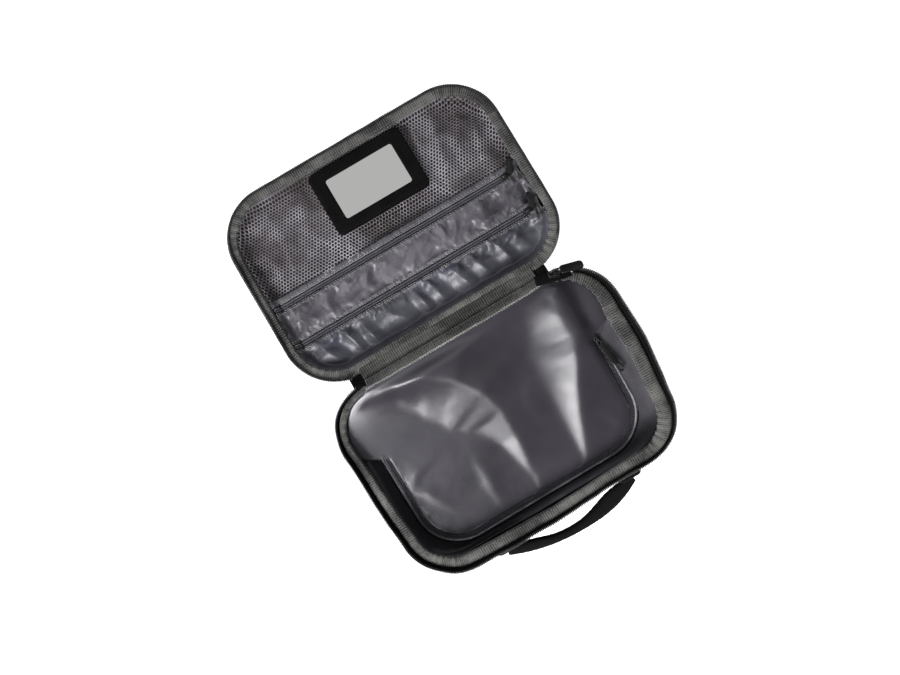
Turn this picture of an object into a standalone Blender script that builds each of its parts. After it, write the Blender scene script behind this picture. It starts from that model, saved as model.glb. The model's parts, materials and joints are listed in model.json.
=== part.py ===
"""Soft zip-around travel case, lying open: a deep base tray with a zipped divider and a
carry handle, a shallow lid tray with two zipped pockets and a mirror, and the fabric
strip that hinges them.

World frame: +X runs along the hinge, +Y from the handle to the lid, +Z up.
A tray is drawn in its own frame: x along the hinge, z = 0 in the rim plane with +z out
of the tray, and y = 0 at the edge nearest the hinge.
"""
import math

import bmesh
import bpy
from mathutils import Vector

MM = 0.001

# Driving dimensions of the case
CASE_WIDTH = 248 * MM
CASE_DEPTH = 172 * MM
CORNER_RADIUS = 42 * MM
BASE_HEIGHT = 60 * MM
LID_HEIGHT = 24 * MM
BASE_BULGE = 4.5 * MM
LID_BULGE = 1.5 * MM
EDGE_RADIUS = 8 * MM
STRAIGHT_RIM = 8 * MM
GAP = 0.3 * MM

# Layers of a tray, from the outside in
SHELL_THICKNESS = 1.2 * MM
FOAM_THICKNESS = 2.0 * MM
BOARD_THICKNESS = 1.2 * MM
LINING_THICKNESS = 0.8 * MM
FOAM_INSET = SHELL_THICKNESS + GAP
LINING_INSET = FOAM_INSET + FOAM_THICKNESS + GAP
INNER_INSET = LINING_INSET + LINING_THICKNESS + 0.4 * MM
BOARD_FLOOR = FOAM_INSET + FOAM_THICKNESS + GAP
LINING_FLOOR = BOARD_FLOOR + BOARD_THICKNESS + GAP

# Rim binding, and the outer zip that closes the case
BINDING_WIDTH = 8 * MM
BINDING_THICKNESS = 1.7 * MM
WALL_TOP = -2.0 * MM
HALF_ZIP = 8 * MM
TAPE_LEAN = 3 * MM
TAPE_THICKNESS = 0.6 * MM
COIL_RADIUS = 1.2 * MM
BASE_ZIP_START_RIGHT = 36
LID_ZIP_START_RIGHT = 48
ZIP_START_LEFT = 10
MAIN_SLIDER_ANGLE = 15

# Fabric hinge strip between the two rims
HINGE_OUT = 1.4 * MM
STRIP_LENGTH = 2 * HALF_ZIP
STRIP_START = 1.6 * MM
STRIP_HALF_WIDTH = 84 * MM
STRIP_SLOPE = math.radians(45)

# Divider across the base, with its U-shaped zip
DIVIDER_BACK_Z = -8 * MM
DIVIDER_FRONT_Z = -34 * MM
DIVIDER_THICKNESS = 1.5 * MM
CROWN = 8 * MM
FLAP_HALF_WIDTH = 100 * MM
FLAP_FRONT = -153 * MM
FLAP_BACK = -78 * MM
FLAP_CORNER = 35 * MM
FLAP_SLIT = 0.5 * MM
PARKED_SLIDER_Y = -63 * MM

# Pocket zips, shared with the divider's zip
PANEL_EDGE = 4 * MM
POCKET_TAPE_WIDTH = 6 * MM
POCKET_TAPE_THICKNESS = 0.5 * MM
POCKET_COIL_RADIUS = 0.8 * MM
POCKET_COIL_OFFSET = 0.95 * MM
SLIDER_LENGTH = 9 * MM

# Lid pockets and mirror
POCKET_Z = -7 * MM
PANEL_THICKNESS = 1.0 * MM
UPPER_ZIP_Y = 79 * MM
LOWER_ZIP_Y = 44 * MM
POCKET_ZIP_HALF = 113 * MM
UPPER_SLIDER_X = 104 * MM
LOWER_SLIDER_X = 106 * MM
MIRROR_CENTRE = (4.5 * MM, 134 * MM)
FRAME_SIZE = (88 * MM, 58 * MM)
GLASS_SIZE = (70 * MM, 43 * MM)
WINDOW_SIZE = (64 * MM, 38 * MM)

# Carry handle
HANDLE_X = 8 * MM
HANDLE_HALF_SPAN = 58 * MM
HANDLE_DEPTH = 9 * MM
HANDLE_RADIUS = 6 * MM
HANDLE_HEIGHT = 33 * MM

ARC_STEPS = 6
SIDE_STEPS = 4


def lid_tilt():
    """Angle at which the open lid's far bottom edge just meets the table."""
    drop = BASE_HEIGHT - STRIP_LENGTH * math.sin(STRIP_SLOPE) - EDGE_RADIUS
    reach = HINGE_OUT + CASE_DEPTH - EDGE_RADIUS
    depth = LID_HEIGHT - EDGE_RADIUS
    return math.asin(drop / math.hypot(reach, depth)) - math.atan2(depth, reach)


LID_TILT = lid_tilt()
# The handle's front and the lid's far rim lie equally far from the origin.
HANDLE_AXIS = -(CASE_DEPTH + BASE_BULGE + 5 * MM)
FRONT_REACH = -HANDLE_AXIS + HANDLE_DEPTH + HANDLE_RADIUS
LID_EDGE = Vector((0,
                   HINGE_OUT + STRIP_LENGTH * math.cos(STRIP_SLOPE) + HINGE_OUT * math.cos(LID_TILT),
                   -STRIP_LENGTH * math.sin(STRIP_SLOPE) - HINGE_OUT * math.sin(LID_TILT)))
LID_REACH = (LID_EDGE.y + (CASE_DEPTH + TAPE_LEAN + COIL_RADIUS + 0.2 * MM) * math.cos(LID_TILT)
             + 7 * MM * math.sin(LID_TILT))
BASE_ORIGIN = Vector((0, (FRONT_REACH - LID_REACH) / 2, BASE_HEIGHT))

parts = bpy.data.collections.new("travel_case")
cutters = bpy.data.collections.new("cutters")


# ---------------------------------------------------------------- helpers

def clear_scene():
    for thing in list(bpy.data.objects):
        bpy.data.objects.remove(thing, do_unlink=True)
    bpy.context.scene.collection.children.link(parts)
    bpy.context.scene.collection.children.link(cutters)


def material(name, colour, roughness, metallic=0.0):
    made = bpy.data.materials.new(name)
    made.use_nodes = True
    shader = made.node_tree.nodes["Principled BSDF"]
    shader.inputs["Base Color"].default_value = (*colour, 1)
    shader.inputs["Roughness"].default_value = roughness
    shader.inputs["Metallic"].default_value = metallic
    return made


def add_part(name, data, parent, look):
    part = bpy.data.objects.new(name, data)
    parts.objects.link(part)
    part.parent = parent
    colour, roughness, metallic = LOOKS[look]
    data.materials.append(material(name, colour, roughness, metallic))
    return part


def add_cutter(name, data, parent):
    cutter = bpy.data.objects.new(name, data)
    cutters.objects.link(cutter)
    cutter.parent = parent
    cutter.hide_render = True
    cutter.display_type = "WIRE"
    return cutter


def axis_empty(name, parent=None, location=(0, 0, 0), rotation=(0, 0, 0)):
    empty = bpy.data.objects.new(name, None)
    parts.objects.link(empty)
    empty.parent = parent
    empty.location = location
    empty.rotation_euler = rotation
    return empty


def boolean(part, cutter, operation):
    cut = part.modifiers.new(operation.lower(), "BOOLEAN")
    cut.operation = operation
    cut.object = cutter
    cut.solver = "EXACT"


def loft(name, rows, thickness, parent, look, closed=True, floor=False):
    """An open surface through rows of points, given its thickness by Solidify."""
    surface = bmesh.new()
    lines = [[surface.verts.new(point) for point in row] for row in rows]
    for low, high in zip(lines, lines[1:]):
        count = len(low)
        for i in range(count if closed else count - 1):
            j = (i + 1) % count
            surface.faces.new((low[i], low[j], high[j], high[i]))
    if floor:
        surface.faces.new(lines[-1])
    mesh = bpy.data.meshes.new(name)
    bmesh.ops.recalc_face_normals(surface, faces=surface.faces)
    surface.to_mesh(mesh)
    surface.free()
    mesh.shade_smooth()
    part = add_part(name, mesh, parent, look)
    solid = part.modifiers.new("thickness", "SOLIDIFY")
    solid.thickness = thickness
    solid.offset = 0
    return part


def outline_curve(name, outlines, thickness):
    """A flat plate: the first outline is its edge and the others are its holes."""
    curve = bpy.data.curves.new(name, "CURVE")
    curve.dimensions = "2D"
    curve.fill_mode = "BOTH"
    curve.extrude = thickness / 2
    for outline in outlines:
        spline = curve.splines.new("POLY")
        spline.points.add(len(outline) - 1)
        for point, (x, y) in zip(spline.points, outline):
            point.co = (x, y, 0, 1)
        spline.use_cyclic_u = True
    return curve


def plate(name, outlines, thickness, z, parent, look):
    part = add_part(name, outline_curve(name, outlines, thickness), parent, look)
    part.location = (0, 0, z)
    return part


def prism(name, outline, height, z, parent):
    """A cutter with an upright wall along the outline, as a closed mesh."""
    guide = bpy.data.objects.new(name, outline_curve(name, [outline], height))
    cutters.objects.link(guide)
    bpy.context.view_layer.update()
    evaluated = guide.evaluated_get(bpy.context.evaluated_depsgraph_get())
    mesh = bpy.data.meshes.new_from_object(evaluated)
    solid = bmesh.new()
    solid.from_mesh(mesh)
    bmesh.ops.remove_doubles(solid, verts=solid.verts, dist=0.01 * MM)
    bmesh.ops.recalc_face_normals(solid, faces=solid.faces)
    solid.to_mesh(mesh)
    solid.free()
    bpy.data.objects.remove(guide)
    cutter = add_cutter(name, mesh, parent)
    cutter.location = (0, 0, z)
    return cutter


def tube(name, points, radius, parent, look, radii=None):
    curve = bpy.data.curves.new(name, "CURVE")
    curve.dimensions = "3D"
    curve.bevel_depth = radius
    curve.bevel_resolution = 1
    curve.use_fill_caps = True
    spline = curve.splines.new("POLY")
    spline.points.add(len(points) - 1)
    for i, position in enumerate(points):
        spline.points[i].co = (*position, 1)
        spline.points[i].radius = radii[i] if radii else 1
    return add_part(name, curve, parent, look)


def block_mesh(name, size, centre):
    box = bmesh.new()
    bmesh.ops.create_cube(box, size=1)
    bmesh.ops.scale(box, vec=size, verts=box.verts)
    bmesh.ops.translate(box, vec=centre, verts=box.verts)
    mesh = bpy.data.meshes.new(name)
    box.to_mesh(mesh)
    box.free()
    return mesh


def block(name, size, centre, parent, look, rounding):
    part = add_part(name, block_mesh(name, size, centre), parent, look)
    bevel = part.modifiers.new("rounding", "BEVEL")
    bevel.width = rounding
    bevel.segments = 2
    return part


def rounded_rectangle(width, depth, radius, centre=(0, 0), steps=4):
    points = []
    for quarter in range(4):
        for step in range(steps + 1):
            angle = math.pi / 2 * (quarter + step / steps)
            side_x = 1 if quarter in (0, 3) else -1
            side_y = 1 if quarter in (0, 1) else -1
            points.append((centre[0] + side_x * (width / 2 - radius) + radius * math.cos(angle),
                           centre[1] + side_y * (depth / 2 - radius) + radius * math.sin(angle)))
    return points


# ---------------------------------------------------------------- tray outlines

def rim_points(side):
    """Points round the rim with their outward normals; side is -1 for the base, 1 for the lid.

    The first two values are the place on the rim, the next two the normal, and the last is
    how far along its straight side the point is, from 0 at a corner to 1 at mid-side.
    """
    half_x = CASE_WIDTH / 2 - CORNER_RADIUS
    half_y = CASE_DEPTH / 2 - CORNER_RADIUS
    points = []
    for quarter in range(4):
        centre_x = half_x if quarter in (0, 3) else -half_x
        centre_y = half_y if quarter in (0, 1) else -half_y
        for step in range(ARC_STEPS + 1):
            angle = math.pi / 2 * (quarter + step / ARC_STEPS)
            normal = (math.cos(angle), math.sin(angle))
            points.append((centre_x + CORNER_RADIUS * normal[0],
                           centre_y + CORNER_RADIUS * normal[1], *normal, 0))
        length = 2 * (half_x if quarter in (0, 2) else half_y)
        along = (-normal[1], normal[0])
        corner = points[-1]
        for step in range(1, SIDE_STEPS):
            share = step / SIDE_STEPS
            points.append((corner[0] + along[0] * length * share,
                           corner[1] + along[1] * length * share, *normal, 4 * share * (1 - share)))
    return [(x, y + side * CASE_DEPTH / 2, nx, ny, mid) for x, y, nx, ny, mid in points]


def wall_bulge(z, height, bulge):
    """How far the soft wall stands out at height z below the rim."""
    span = height - STRAIGHT_RIM
    depth = -z - STRAIGHT_RIM
    return bulge * math.sin(math.pi * depth / span) if 0 < depth < span else 0


def ring(side, inset, z, height, bulge):
    out = wall_bulge(z, height, bulge)
    return [(x + nx * (out * (0.5 + 0.5 * mid) - inset), y + ny * (out * (0.5 + 0.5 * mid) - inset), z)
            for x, y, nx, ny, mid in rim_points(side)]


def tray(name, side, height, bulge, inset, floor, thickness, parent, look):
    """One layer of a tray; inset and floor place its outer face inside the case's outer face."""
    middle = thickness / 2
    radius = EDGE_RADIUS - floor - middle
    bottom = -height + floor + middle
    heights = [WALL_TOP, -STRAIGHT_RIM]
    wall = height - STRAIGHT_RIM - EDGE_RADIUS
    steps = 3 if wall > 20 * MM else 1
    heights += [-STRAIGHT_RIM - wall * step / steps for step in range(1, steps + 1)]
    rows = [ring(side, inset + middle, z, height, bulge) for z in heights]
    for degrees in (30, 60, 90):
        angle = math.radians(degrees)
        z = bottom + radius * (1 - math.sin(angle))
        rows.append(ring(side, inset + middle + radius * (1 - math.cos(angle)), z, height, bulge))
    return loft(name, rows, thickness, parent, look, floor=True)


def rim_path(side, start, end):
    """The zip's open path round three sides, from angle start past the hinge at the right."""
    half_x = CASE_WIDTH / 2 - CORNER_RADIUS
    half_y = CASE_DEPTH / 2 - CORNER_RADIUS
    near = -side * half_y
    corners = [(half_x, near, start, 90), (half_x, -near, 90, 180),
               (-half_x, -near, 180, 270), (-half_x, near, 270, 360 - end)]
    path = []
    for centre_x, centre_y, first, last in corners:
        for step in range(ARC_STEPS + 1):
            angle = math.radians(first + (last - first) * step / ARC_STEPS)
            normal = (math.sin(angle), -side * math.cos(angle))
            path.append((centre_x + CORNER_RADIUS * normal[0],
                         centre_y + CORNER_RADIUS * normal[1] + side * CASE_DEPTH / 2, *normal))
    return path


def beside(path, offset, height):
    """Points at an offset outside the path; height is a number or a function of y."""
    level = height if callable(height) else lambda y: height
    return [(x + nx * offset, y + ny * offset, level(y + ny * offset)) for x, y, nx, ny in path]


# ---------------------------------------------------------------- zip sliders and pullers

def zip_slider(name, parent, scale):
    """A saddle that straddles the coil along x, with an arch for its puller."""
    unit = scale * MM
    length = SLIDER_LENGTH * scale
    slider = add_part(name, block_mesh(name, (length, 6.2 * unit, 2.9 * unit), (0, 0, 0.75 * unit)),
                      parent, "slider")
    channel = add_cutter(name + "_channel",
                         block_mesh(name + "_channel", (2 * length, 4.2 * unit, 4 * unit),
                                    (0, 0, -0.85 * unit)), parent)
    arch = add_cutter(name + "_arch",
                      block_mesh(name + "_arch", (4.8 * unit, 1.4 * unit, 4.0 * unit),
                                 (0, 0, 3.6 * unit)), parent)
    window = add_cutter(name + "_window",
                        block_mesh(name + "_window", (2.4 * unit, 3 * unit, 2.4 * unit),
                                   (0, 0, 3.5 * unit)), parent)
    boolean(slider, channel, "DIFFERENCE")
    boolean(slider, arch, "UNION")
    boolean(slider, window, "DIFFERENCE")
    return slider


def zip_puller(name, parent, scale, length, width, bend, eyelet=False):
    """A flat pull tab, bent sideways past its root, whose bar lies in the slider's arch."""
    unit = scale * MM
    axis = axis_empty(name + "_axis", parent, (0, 0, 3.5 * unit))
    neck = 4.4 * unit
    root = 2.2 * unit

    def bent(x, y):
        ahead = x - neck
        return (neck + ahead * math.cos(bend) - y * math.sin(bend),
                ahead * math.sin(bend) + y * math.cos(bend))

    half = width / 2
    tab = [bent(8 * unit, -half), bent(length - 2 * MM, -half), bent(length, -half + 1.5 * MM),
           bent(length, half - 1.5 * MM), bent(length - 2 * MM, half), bent(8 * unit, half)]
    edge = [(-0.5 * unit, -root), (neck, -root), *tab, (neck, root), (-0.5 * unit, root)]
    hole = [(0.5 * unit, -1.1 * unit), (3.6 * unit, -1.1 * unit),
            (3.6 * unit, 1.1 * unit), (0.5 * unit, 1.1 * unit)]
    outlines = [edge, hole]
    if eyelet:
        slot = rounded_rectangle(8 * MM, 2.2 * MM, 1.05 * MM, (length - 6.5 * MM, 0), 2)
        outlines.append([bent(x, y) for x, y in slot])
    return plate(name, outlines, 1.0 * unit, 0, axis, "puller")


# ---------------------------------------------------------------- the trays

def make_tray(prefix, side, height, bulge, frame):
    layers = ((prefix + "_shell", 0, 0, SHELL_THICKNESS, "shell"),
              (prefix + "_foam", FOAM_INSET, FOAM_INSET, FOAM_THICKNESS, "foam"),
              (prefix + "_lining", LINING_INSET, LINING_FLOOR, LINING_THICKNESS, "lining"))
    for name, inset, floor, thickness, look in layers:
        tray(name, side, height, bulge, inset, floor, thickness, frame, look)
    board = rounded_rectangle(CASE_WIDTH - 4 * EDGE_RADIUS, CASE_DEPTH - 4 * EDGE_RADIUS,
                              CORNER_RADIUS - 2 * EDGE_RADIUS, (0, side * CASE_DEPTH / 2), ARC_STEPS)
    plate(prefix + "_board", [board], BOARD_THICKNESS,
          -height + BOARD_FLOOR + BOARD_THICKNESS / 2, frame, "board")
    binding_z = -BINDING_THICKNESS / 2
    rows = [ring(side, inset, binding_z, height, 0) for inset in (0.2 * MM, BINDING_WIDTH)]
    loft(prefix + "_binding", rows, BINDING_THICKNESS, frame, "binding")


def make_outer_zip(prefix, side, start, frame):
    path = rim_path(side, start, ZIP_START_LEFT)
    rows = [beside(path, 0.8 * MM, -4 * MM), beside(path, TAPE_LEAN, 5 * MM)]
    loft(prefix + "_zip_tape", rows, TAPE_THICKNESS, frame, "tape", closed=False)
    coil_z = HALF_ZIP - COIL_RADIUS - 0.2 * MM
    tube(prefix + "_zip_coil", beside(path, TAPE_LEAN + 0.2 * MM, coil_z), COIL_RADIUS, frame, "coil")


def make_main_slider(frame):
    """The outer zip's slider, run off to the hinge's right end, with its pull tab."""
    angle = math.radians(MAIN_SLIDER_ANGLE)
    centre_x = CASE_WIDTH / 2 - CORNER_RADIUS
    reach = CORNER_RADIUS + TAPE_LEAN + 0.5 * MM
    seat = axis_empty("main_slider_seat", frame,
                      (centre_x + reach * math.sin(angle), -CORNER_RADIUS + reach * math.cos(angle),
                       5.5 * MM),
                      (math.radians(-30), 0, -angle))
    zip_slider("main_slider", seat, 1.2)
    zip_puller("main_puller", seat, 1.2, 25 * MM, 8 * MM, 0)


# ---------------------------------------------------------------- hinge strip

def make_hinge(frame):
    strip = axis_empty("hinge_strip_axis", frame, (0, HINGE_OUT, 0), (-STRIP_SLOPE, 0, 0))
    length = STRIP_LENGTH - 2 * STRIP_START
    middle = STRIP_LENGTH / 2
    block("hinge_web", (2 * STRIP_HALF_WIDTH, length, 1.1 * MM), (0, middle, -0.75 * MM),
          strip, "shell", 0.3 * MM)
    block("hinge_lining", (2 * STRIP_HALF_WIDTH - 4 * MM, length, 0.8 * MM), (0, middle, 0.5 * MM),
          strip, "lining", 0.2 * MM)


# ---------------------------------------------------------------- divider in the base

def divider_level(y):
    """Height of the divider's flat edge at y, in the base tray's frame."""
    return DIVIDER_BACK_Z + (DIVIDER_FRONT_Z - DIVIDER_BACK_Z) * -y / CASE_DEPTH


def crowned_sheet(name, y_back, y_front, parent):
    """A sheet in the divider's plane that swells between its edges like a pillow."""
    middle = (y_back + y_front) / 2
    half_y = abs(y_back - y_front) / 2
    half_x = FLAP_HALF_WIDTH - PANEL_EDGE
    grid = bmesh.new()
    bmesh.ops.create_grid(grid, x_segments=21, y_segments=13, size=0.5)
    bmesh.ops.scale(grid, vec=(CASE_WIDTH + 20 * MM, CASE_DEPTH + 20 * MM, 1), verts=grid.verts)
    bmesh.ops.translate(grid, vec=(0, -CASE_DEPTH / 2, 0), verts=grid.verts)
    for vert in grid.verts:
        across = 1 - (vert.co.x / half_x) ** 2
        along = 1 - ((vert.co.y - middle) / half_y) ** 2
        swell = CROWN * across * along if across > 0 and along > 0 else 0
        vert.co.z = divider_level(vert.co.y) + swell
    mesh = bpy.data.meshes.new(name)
    grid.to_mesh(mesh)
    grid.free()
    mesh.shade_smooth()
    sheet = add_part(name, mesh, parent, "divider")
    solid = sheet.modifiers.new("thickness", "SOLIDIFY")
    solid.thickness = DIVIDER_THICKNESS
    solid.offset = 0
    return sheet


def divider_edge():
    """The divider's outline, a little inside the lining at the height it has there."""
    edge = []
    for x, y, nx, ny, mid in rim_points(-1):
        swell = 0.8 * wall_bulge(divider_level(y), BASE_HEIGHT, BASE_BULGE)
        out = swell * (0.5 + 0.5 * mid) - INNER_INSET
        edge.append((x + nx * out, y + ny * out))
    return edge


def flap_path(right_start, left_start):
    """The U-shaped zip line, from the right leg's top round the front to the left leg's top."""
    centre_x = FLAP_HALF_WIDTH - FLAP_CORNER
    centre_y = FLAP_FRONT + FLAP_CORNER
    path = [(FLAP_HALF_WIDTH, right_start, 1, 0)]
    for side in (1, -1):
        for step in range(ARC_STEPS + 1):
            turn = step / ARC_STEPS if side == 1 else 1 - step / ARC_STEPS
            angle = math.pi / 2 * turn
            normal = (side * math.cos(angle), -math.sin(angle))
            path.append((side * centre_x + FLAP_CORNER * normal[0],
                         centre_y + FLAP_CORNER * normal[1], *normal))
    path.append((-FLAP_HALF_WIDTH, left_start, -1, 0))
    return path


def flap_region(offset, back):
    return [(x, y) for x, y, z in beside(flap_path(back, back), offset, 0)]


def make_divider(frame):
    tall = 80 * MM
    level = (DIVIDER_BACK_Z + DIVIDER_FRONT_Z) / 2
    fixed = crowned_sheet("divider_panel", -INNER_INSET, FLAP_BACK, frame)
    boolean(fixed, prism("divider_outline", divider_edge(), tall, level, frame), "INTERSECT")
    boolean(fixed, prism("flap_opening", flap_region(PANEL_EDGE, FLAP_BACK), tall, level, frame),
            "DIFFERENCE")
    slot = rounded_rectangle(2 * PANEL_EDGE, 28 * MM, 3 * MM, (FLAP_HALF_WIDTH, FLAP_BACK + 10 * MM))
    boolean(fixed, prism("slider_slot", slot, tall, level, frame), "DIFFERENCE")
    flap_end = FLAP_BACK - 1.5 * MM
    add_flap_zip("divider", flap_path(FLAP_BACK + 22 * MM, flap_end), 1, frame)

    fold_z = divider_level(FLAP_BACK) + DIVIDER_THICKNESS / 2
    flap_axis = axis_empty("flap_axis", frame, (0, FLAP_BACK, fold_z))
    flap_frame = axis_empty("flap_frame", flap_axis, -flap_axis.location)
    flap = crowned_sheet("divider_flap", FLAP_BACK, FLAP_FRONT + PANEL_EDGE, flap_frame)
    boolean(flap, prism("flap_outline", flap_region(-PANEL_EDGE, FLAP_BACK - FLAP_SLIT), tall,
                        level, flap_frame), "INTERSECT")
    add_flap_zip("flap", flap_path(flap_end, flap_end), -1, flap_frame)

    slope = math.atan2(DIVIDER_BACK_Z - DIVIDER_FRONT_Z, CASE_DEPTH)
    slider_axis = axis_empty("divider_slider_axis", frame,
                             (FLAP_HALF_WIDTH, PARKED_SLIDER_Y, divider_level(PARKED_SLIDER_Y)),
                             (0, slope, -math.pi / 2))
    zip_slider("divider_slider", slider_axis, 1)
    zip_puller("divider_puller", slider_axis, 1, 35 * MM, 4.6 * MM, math.radians(12), eyelet=True)


def add_flap_zip(prefix, path, side, parent):
    """Half of the U-shaped zip: side is 1 outside the zip line and -1 inside it."""
    drop = DIVIDER_THICKNESS / 2 + GAP + POCKET_TAPE_THICKNESS / 2
    edges = [beside(path, side * offset, lambda y: divider_level(y) - drop)
             for offset in (GAP, POCKET_TAPE_WIDTH)]
    loft(prefix + "_zip_tape", edges, POCKET_TAPE_THICKNESS, parent, "tape", closed=False)
    coil = beside(path, side * POCKET_COIL_OFFSET, lambda y: divider_level(y) + 0.1 * MM)
    tube(prefix + "_zip_coil", coil, POCKET_COIL_RADIUS, parent, "coil")


# ---------------------------------------------------------------- carry handle

def make_handle(frame):
    height = HANDLE_HEIGHT - BASE_HEIGHT
    axis = axis_empty("handle_axis", frame, (HANDLE_X, HANDLE_AXIS, height))
    count = 16
    points = []
    radii = []
    for i in range(count + 1):
        share = 2 * i / count - 1
        points.append((share * HANDLE_HALF_SPAN, -HANDLE_DEPTH * (1 - abs(share) ** 2.4), 0))
        radii.append(1 - 0.5 * abs(share) ** 4)
    grip = tube("handle_grip", points, HANDLE_RADIUS, axis, "handle", radii)
    grip.data.bevel_resolution = 2
    patch_y = HANDLE_AXIS + HANDLE_RADIUS / 2 + 1.4 * MM
    for side, name in ((-1, "handle_anchor_left"), (1, "handle_anchor_right")):
        block(name, (20 * MM, 1.8 * MM, 16 * MM),
              (HANDLE_X + side * (HANDLE_HALF_SPAN + 1 * MM), patch_y, height), frame, "handle", 0.5 * MM)


# ---------------------------------------------------------------- lid pockets and mirror

def pocket_panel(name, y_near, y_far, frame, look):
    """A flat panel across the lid between two lines, rounded where the lid's corners are."""
    half_x = CASE_WIDTH / 2 - INNER_INSET
    lid_edge = [(x - nx * INNER_INSET, y - ny * INNER_INSET) for x, y, nx, ny, mid in rim_points(1)]
    inside = [point for point in lid_edge if y_near < point[1] < y_far]
    right = sorted((point for point in inside if point[0] > 0), key=lambda point: point[1])
    left = sorted((point for point in inside if point[0] <= 0), key=lambda point: -point[1])
    near_x = edge_half_width(y_near, half_x)
    far_x = edge_half_width(y_far, half_x)
    edge = [(-near_x, y_near), (near_x, y_near)] + right
    if far_x > 0:
        edge += [(far_x, y_far), (-far_x, y_far)]
    edge += left
    return plate(name, [edge], PANEL_THICKNESS, POCKET_Z, frame, look)


def edge_half_width(y, half_x):
    """Half the lid's inner width at y, or 0 past its far edge."""
    radius = CORNER_RADIUS - INNER_INSET
    low = CORNER_RADIUS
    high = CASE_DEPTH - CORNER_RADIUS
    beyond = max(low - y, y - high, 0)
    if beyond >= radius:
        return 0
    return half_x - radius + math.sqrt(radius ** 2 - beyond ** 2)


def pocket_zip(prefix, y, slider_x, turn, frame):
    tape_z = POCKET_Z - PANEL_THICKNESS / 2 - GAP - POCKET_TAPE_THICKNESS / 2
    for side, place in ((-1, "near"), (1, "far")):
        line = [(x, y, 0, side) for x in (-POCKET_ZIP_HALF, POCKET_ZIP_HALF)]
        rows = [beside(line, offset, tape_z) for offset in (GAP, POCKET_TAPE_WIDTH)]
        loft(prefix + "_zip_tape_" + place, rows, POCKET_TAPE_THICKNESS, frame, "tape", closed=False)
        tube(prefix + "_zip_coil_" + place, beside(line, POCKET_COIL_OFFSET, POCKET_Z + 0.1 * MM),
             POCKET_COIL_RADIUS, frame, "coil")
    axis = axis_empty(prefix + "_slider_axis", frame, (slider_x, y, POCKET_Z))
    zip_slider(prefix + "_slider", axis, 1)
    zip_puller(prefix + "_puller", axis, 1, 19 * MM, 5 * MM, turn)


def make_mirror(frame):
    centre_x, centre_y = MIRROR_CENTRE
    back_z = POCKET_Z + PANEL_THICKNESS / 2 + GAP
    backing = 0.8 * MM
    plate("mirror_backing", [rounded_rectangle(*FRAME_SIZE, 5 * MM, MIRROR_CENTRE)], backing,
          back_z + backing / 2, frame, "frame")
    frame_z = back_z + backing + GAP
    frame_thickness = 2.4 * MM
    glass_thickness = 1.2 * MM
    rim = block("mirror_frame", (*FRAME_SIZE, frame_thickness),
                (centre_x, centre_y, frame_z + frame_thickness / 2), frame, "frame", 0.6 * MM)
    pocket = add_cutter("mirror_pocket", block_mesh(
        "mirror_pocket", (*GLASS_SIZE, 2 * (glass_thickness + GAP)), (centre_x, centre_y, frame_z)),
        frame)
    window = add_cutter("mirror_window", block_mesh(
        "mirror_window", (*WINDOW_SIZE, 10 * MM), (centre_x, centre_y, frame_z)), frame)
    boolean(rim, pocket, "DIFFERENCE")
    boolean(rim, window, "DIFFERENCE")
    glass = (GLASS_SIZE[0] - 2 * GAP, GLASS_SIZE[1] - 2 * GAP, glass_thickness)
    block("mirror_glass", glass, (centre_x, centre_y, frame_z + glass_thickness / 2), frame,
          "mirror", 0.2 * MM)


def make_lid_inside(frame):
    pocket_panel("mesh_pocket", UPPER_ZIP_Y + PANEL_EDGE, CASE_DEPTH, frame, "mesh")
    pocket_panel("middle_pocket_panel", LOWER_ZIP_Y + PANEL_EDGE, UPPER_ZIP_Y - PANEL_EDGE, frame, "lining")
    pocket_panel("lower_lining_panel", INNER_INSET + 1 * MM, LOWER_ZIP_Y - PANEL_EDGE, frame, "lining")
    pocket_zip("upper", UPPER_ZIP_Y, UPPER_SLIDER_X, math.radians(62), frame)
    pocket_zip("lower", LOWER_ZIP_Y, LOWER_SLIDER_X, math.radians(78), frame)
    make_mirror(frame)


# ---------------------------------------------------------------- assembly

LOOKS = {
    "shell": ((0.012, 0.012, 0.013), 0.85, 0),
    "foam": ((0.35, 0.35, 0.36), 0.95, 0),
    "board": ((0.05, 0.05, 0.055), 0.6, 0),
    "lining": ((0.16, 0.155, 0.17), 0.45, 0),
    "divider": ((0.12, 0.115, 0.13), 0.35, 0),
    "binding": ((0.12, 0.12, 0.115), 0.8, 0),
    "tape": ((0.012, 0.012, 0.013), 0.8, 0),
    "coil": ((0.02, 0.02, 0.024), 0.4, 0),
    "slider": ((0.015, 0.015, 0.016), 0.35, 0.9),
    "puller": ((0.01, 0.01, 0.011), 0.5, 0),
    "mesh": ((0.09, 0.085, 0.095), 0.8, 0),
    "frame": ((0.01, 0.01, 0.01), 0.55, 0),
    "mirror": ((0.85, 0.85, 0.85), 0.05, 1),
    "handle": ((0.012, 0.012, 0.012), 0.8, 0),
}


def main():
    clear_scene()
    base = axis_empty("base_frame", None, BASE_ORIGIN)
    lid = axis_empty("lid_frame", None, BASE_ORIGIN + LID_EDGE, (-LID_TILT, 0, 0))
    make_tray("base", -1, BASE_HEIGHT, BASE_BULGE, base)
    make_tray("lid", 1, LID_HEIGHT, LID_BULGE, lid)
    make_outer_zip("base", -1, BASE_ZIP_START_RIGHT, base)
    make_outer_zip("lid", 1, LID_ZIP_START_RIGHT, lid)
    make_main_slider(base)
    make_hinge(base)
    make_divider(base)
    make_handle(base)
    make_lid_inside(lid)


main()
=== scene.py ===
import json
import math
from collections import namedtuple

import bmesh
import bpy
import numpy as np
from mathutils import Matrix, Vector, noise


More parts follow.
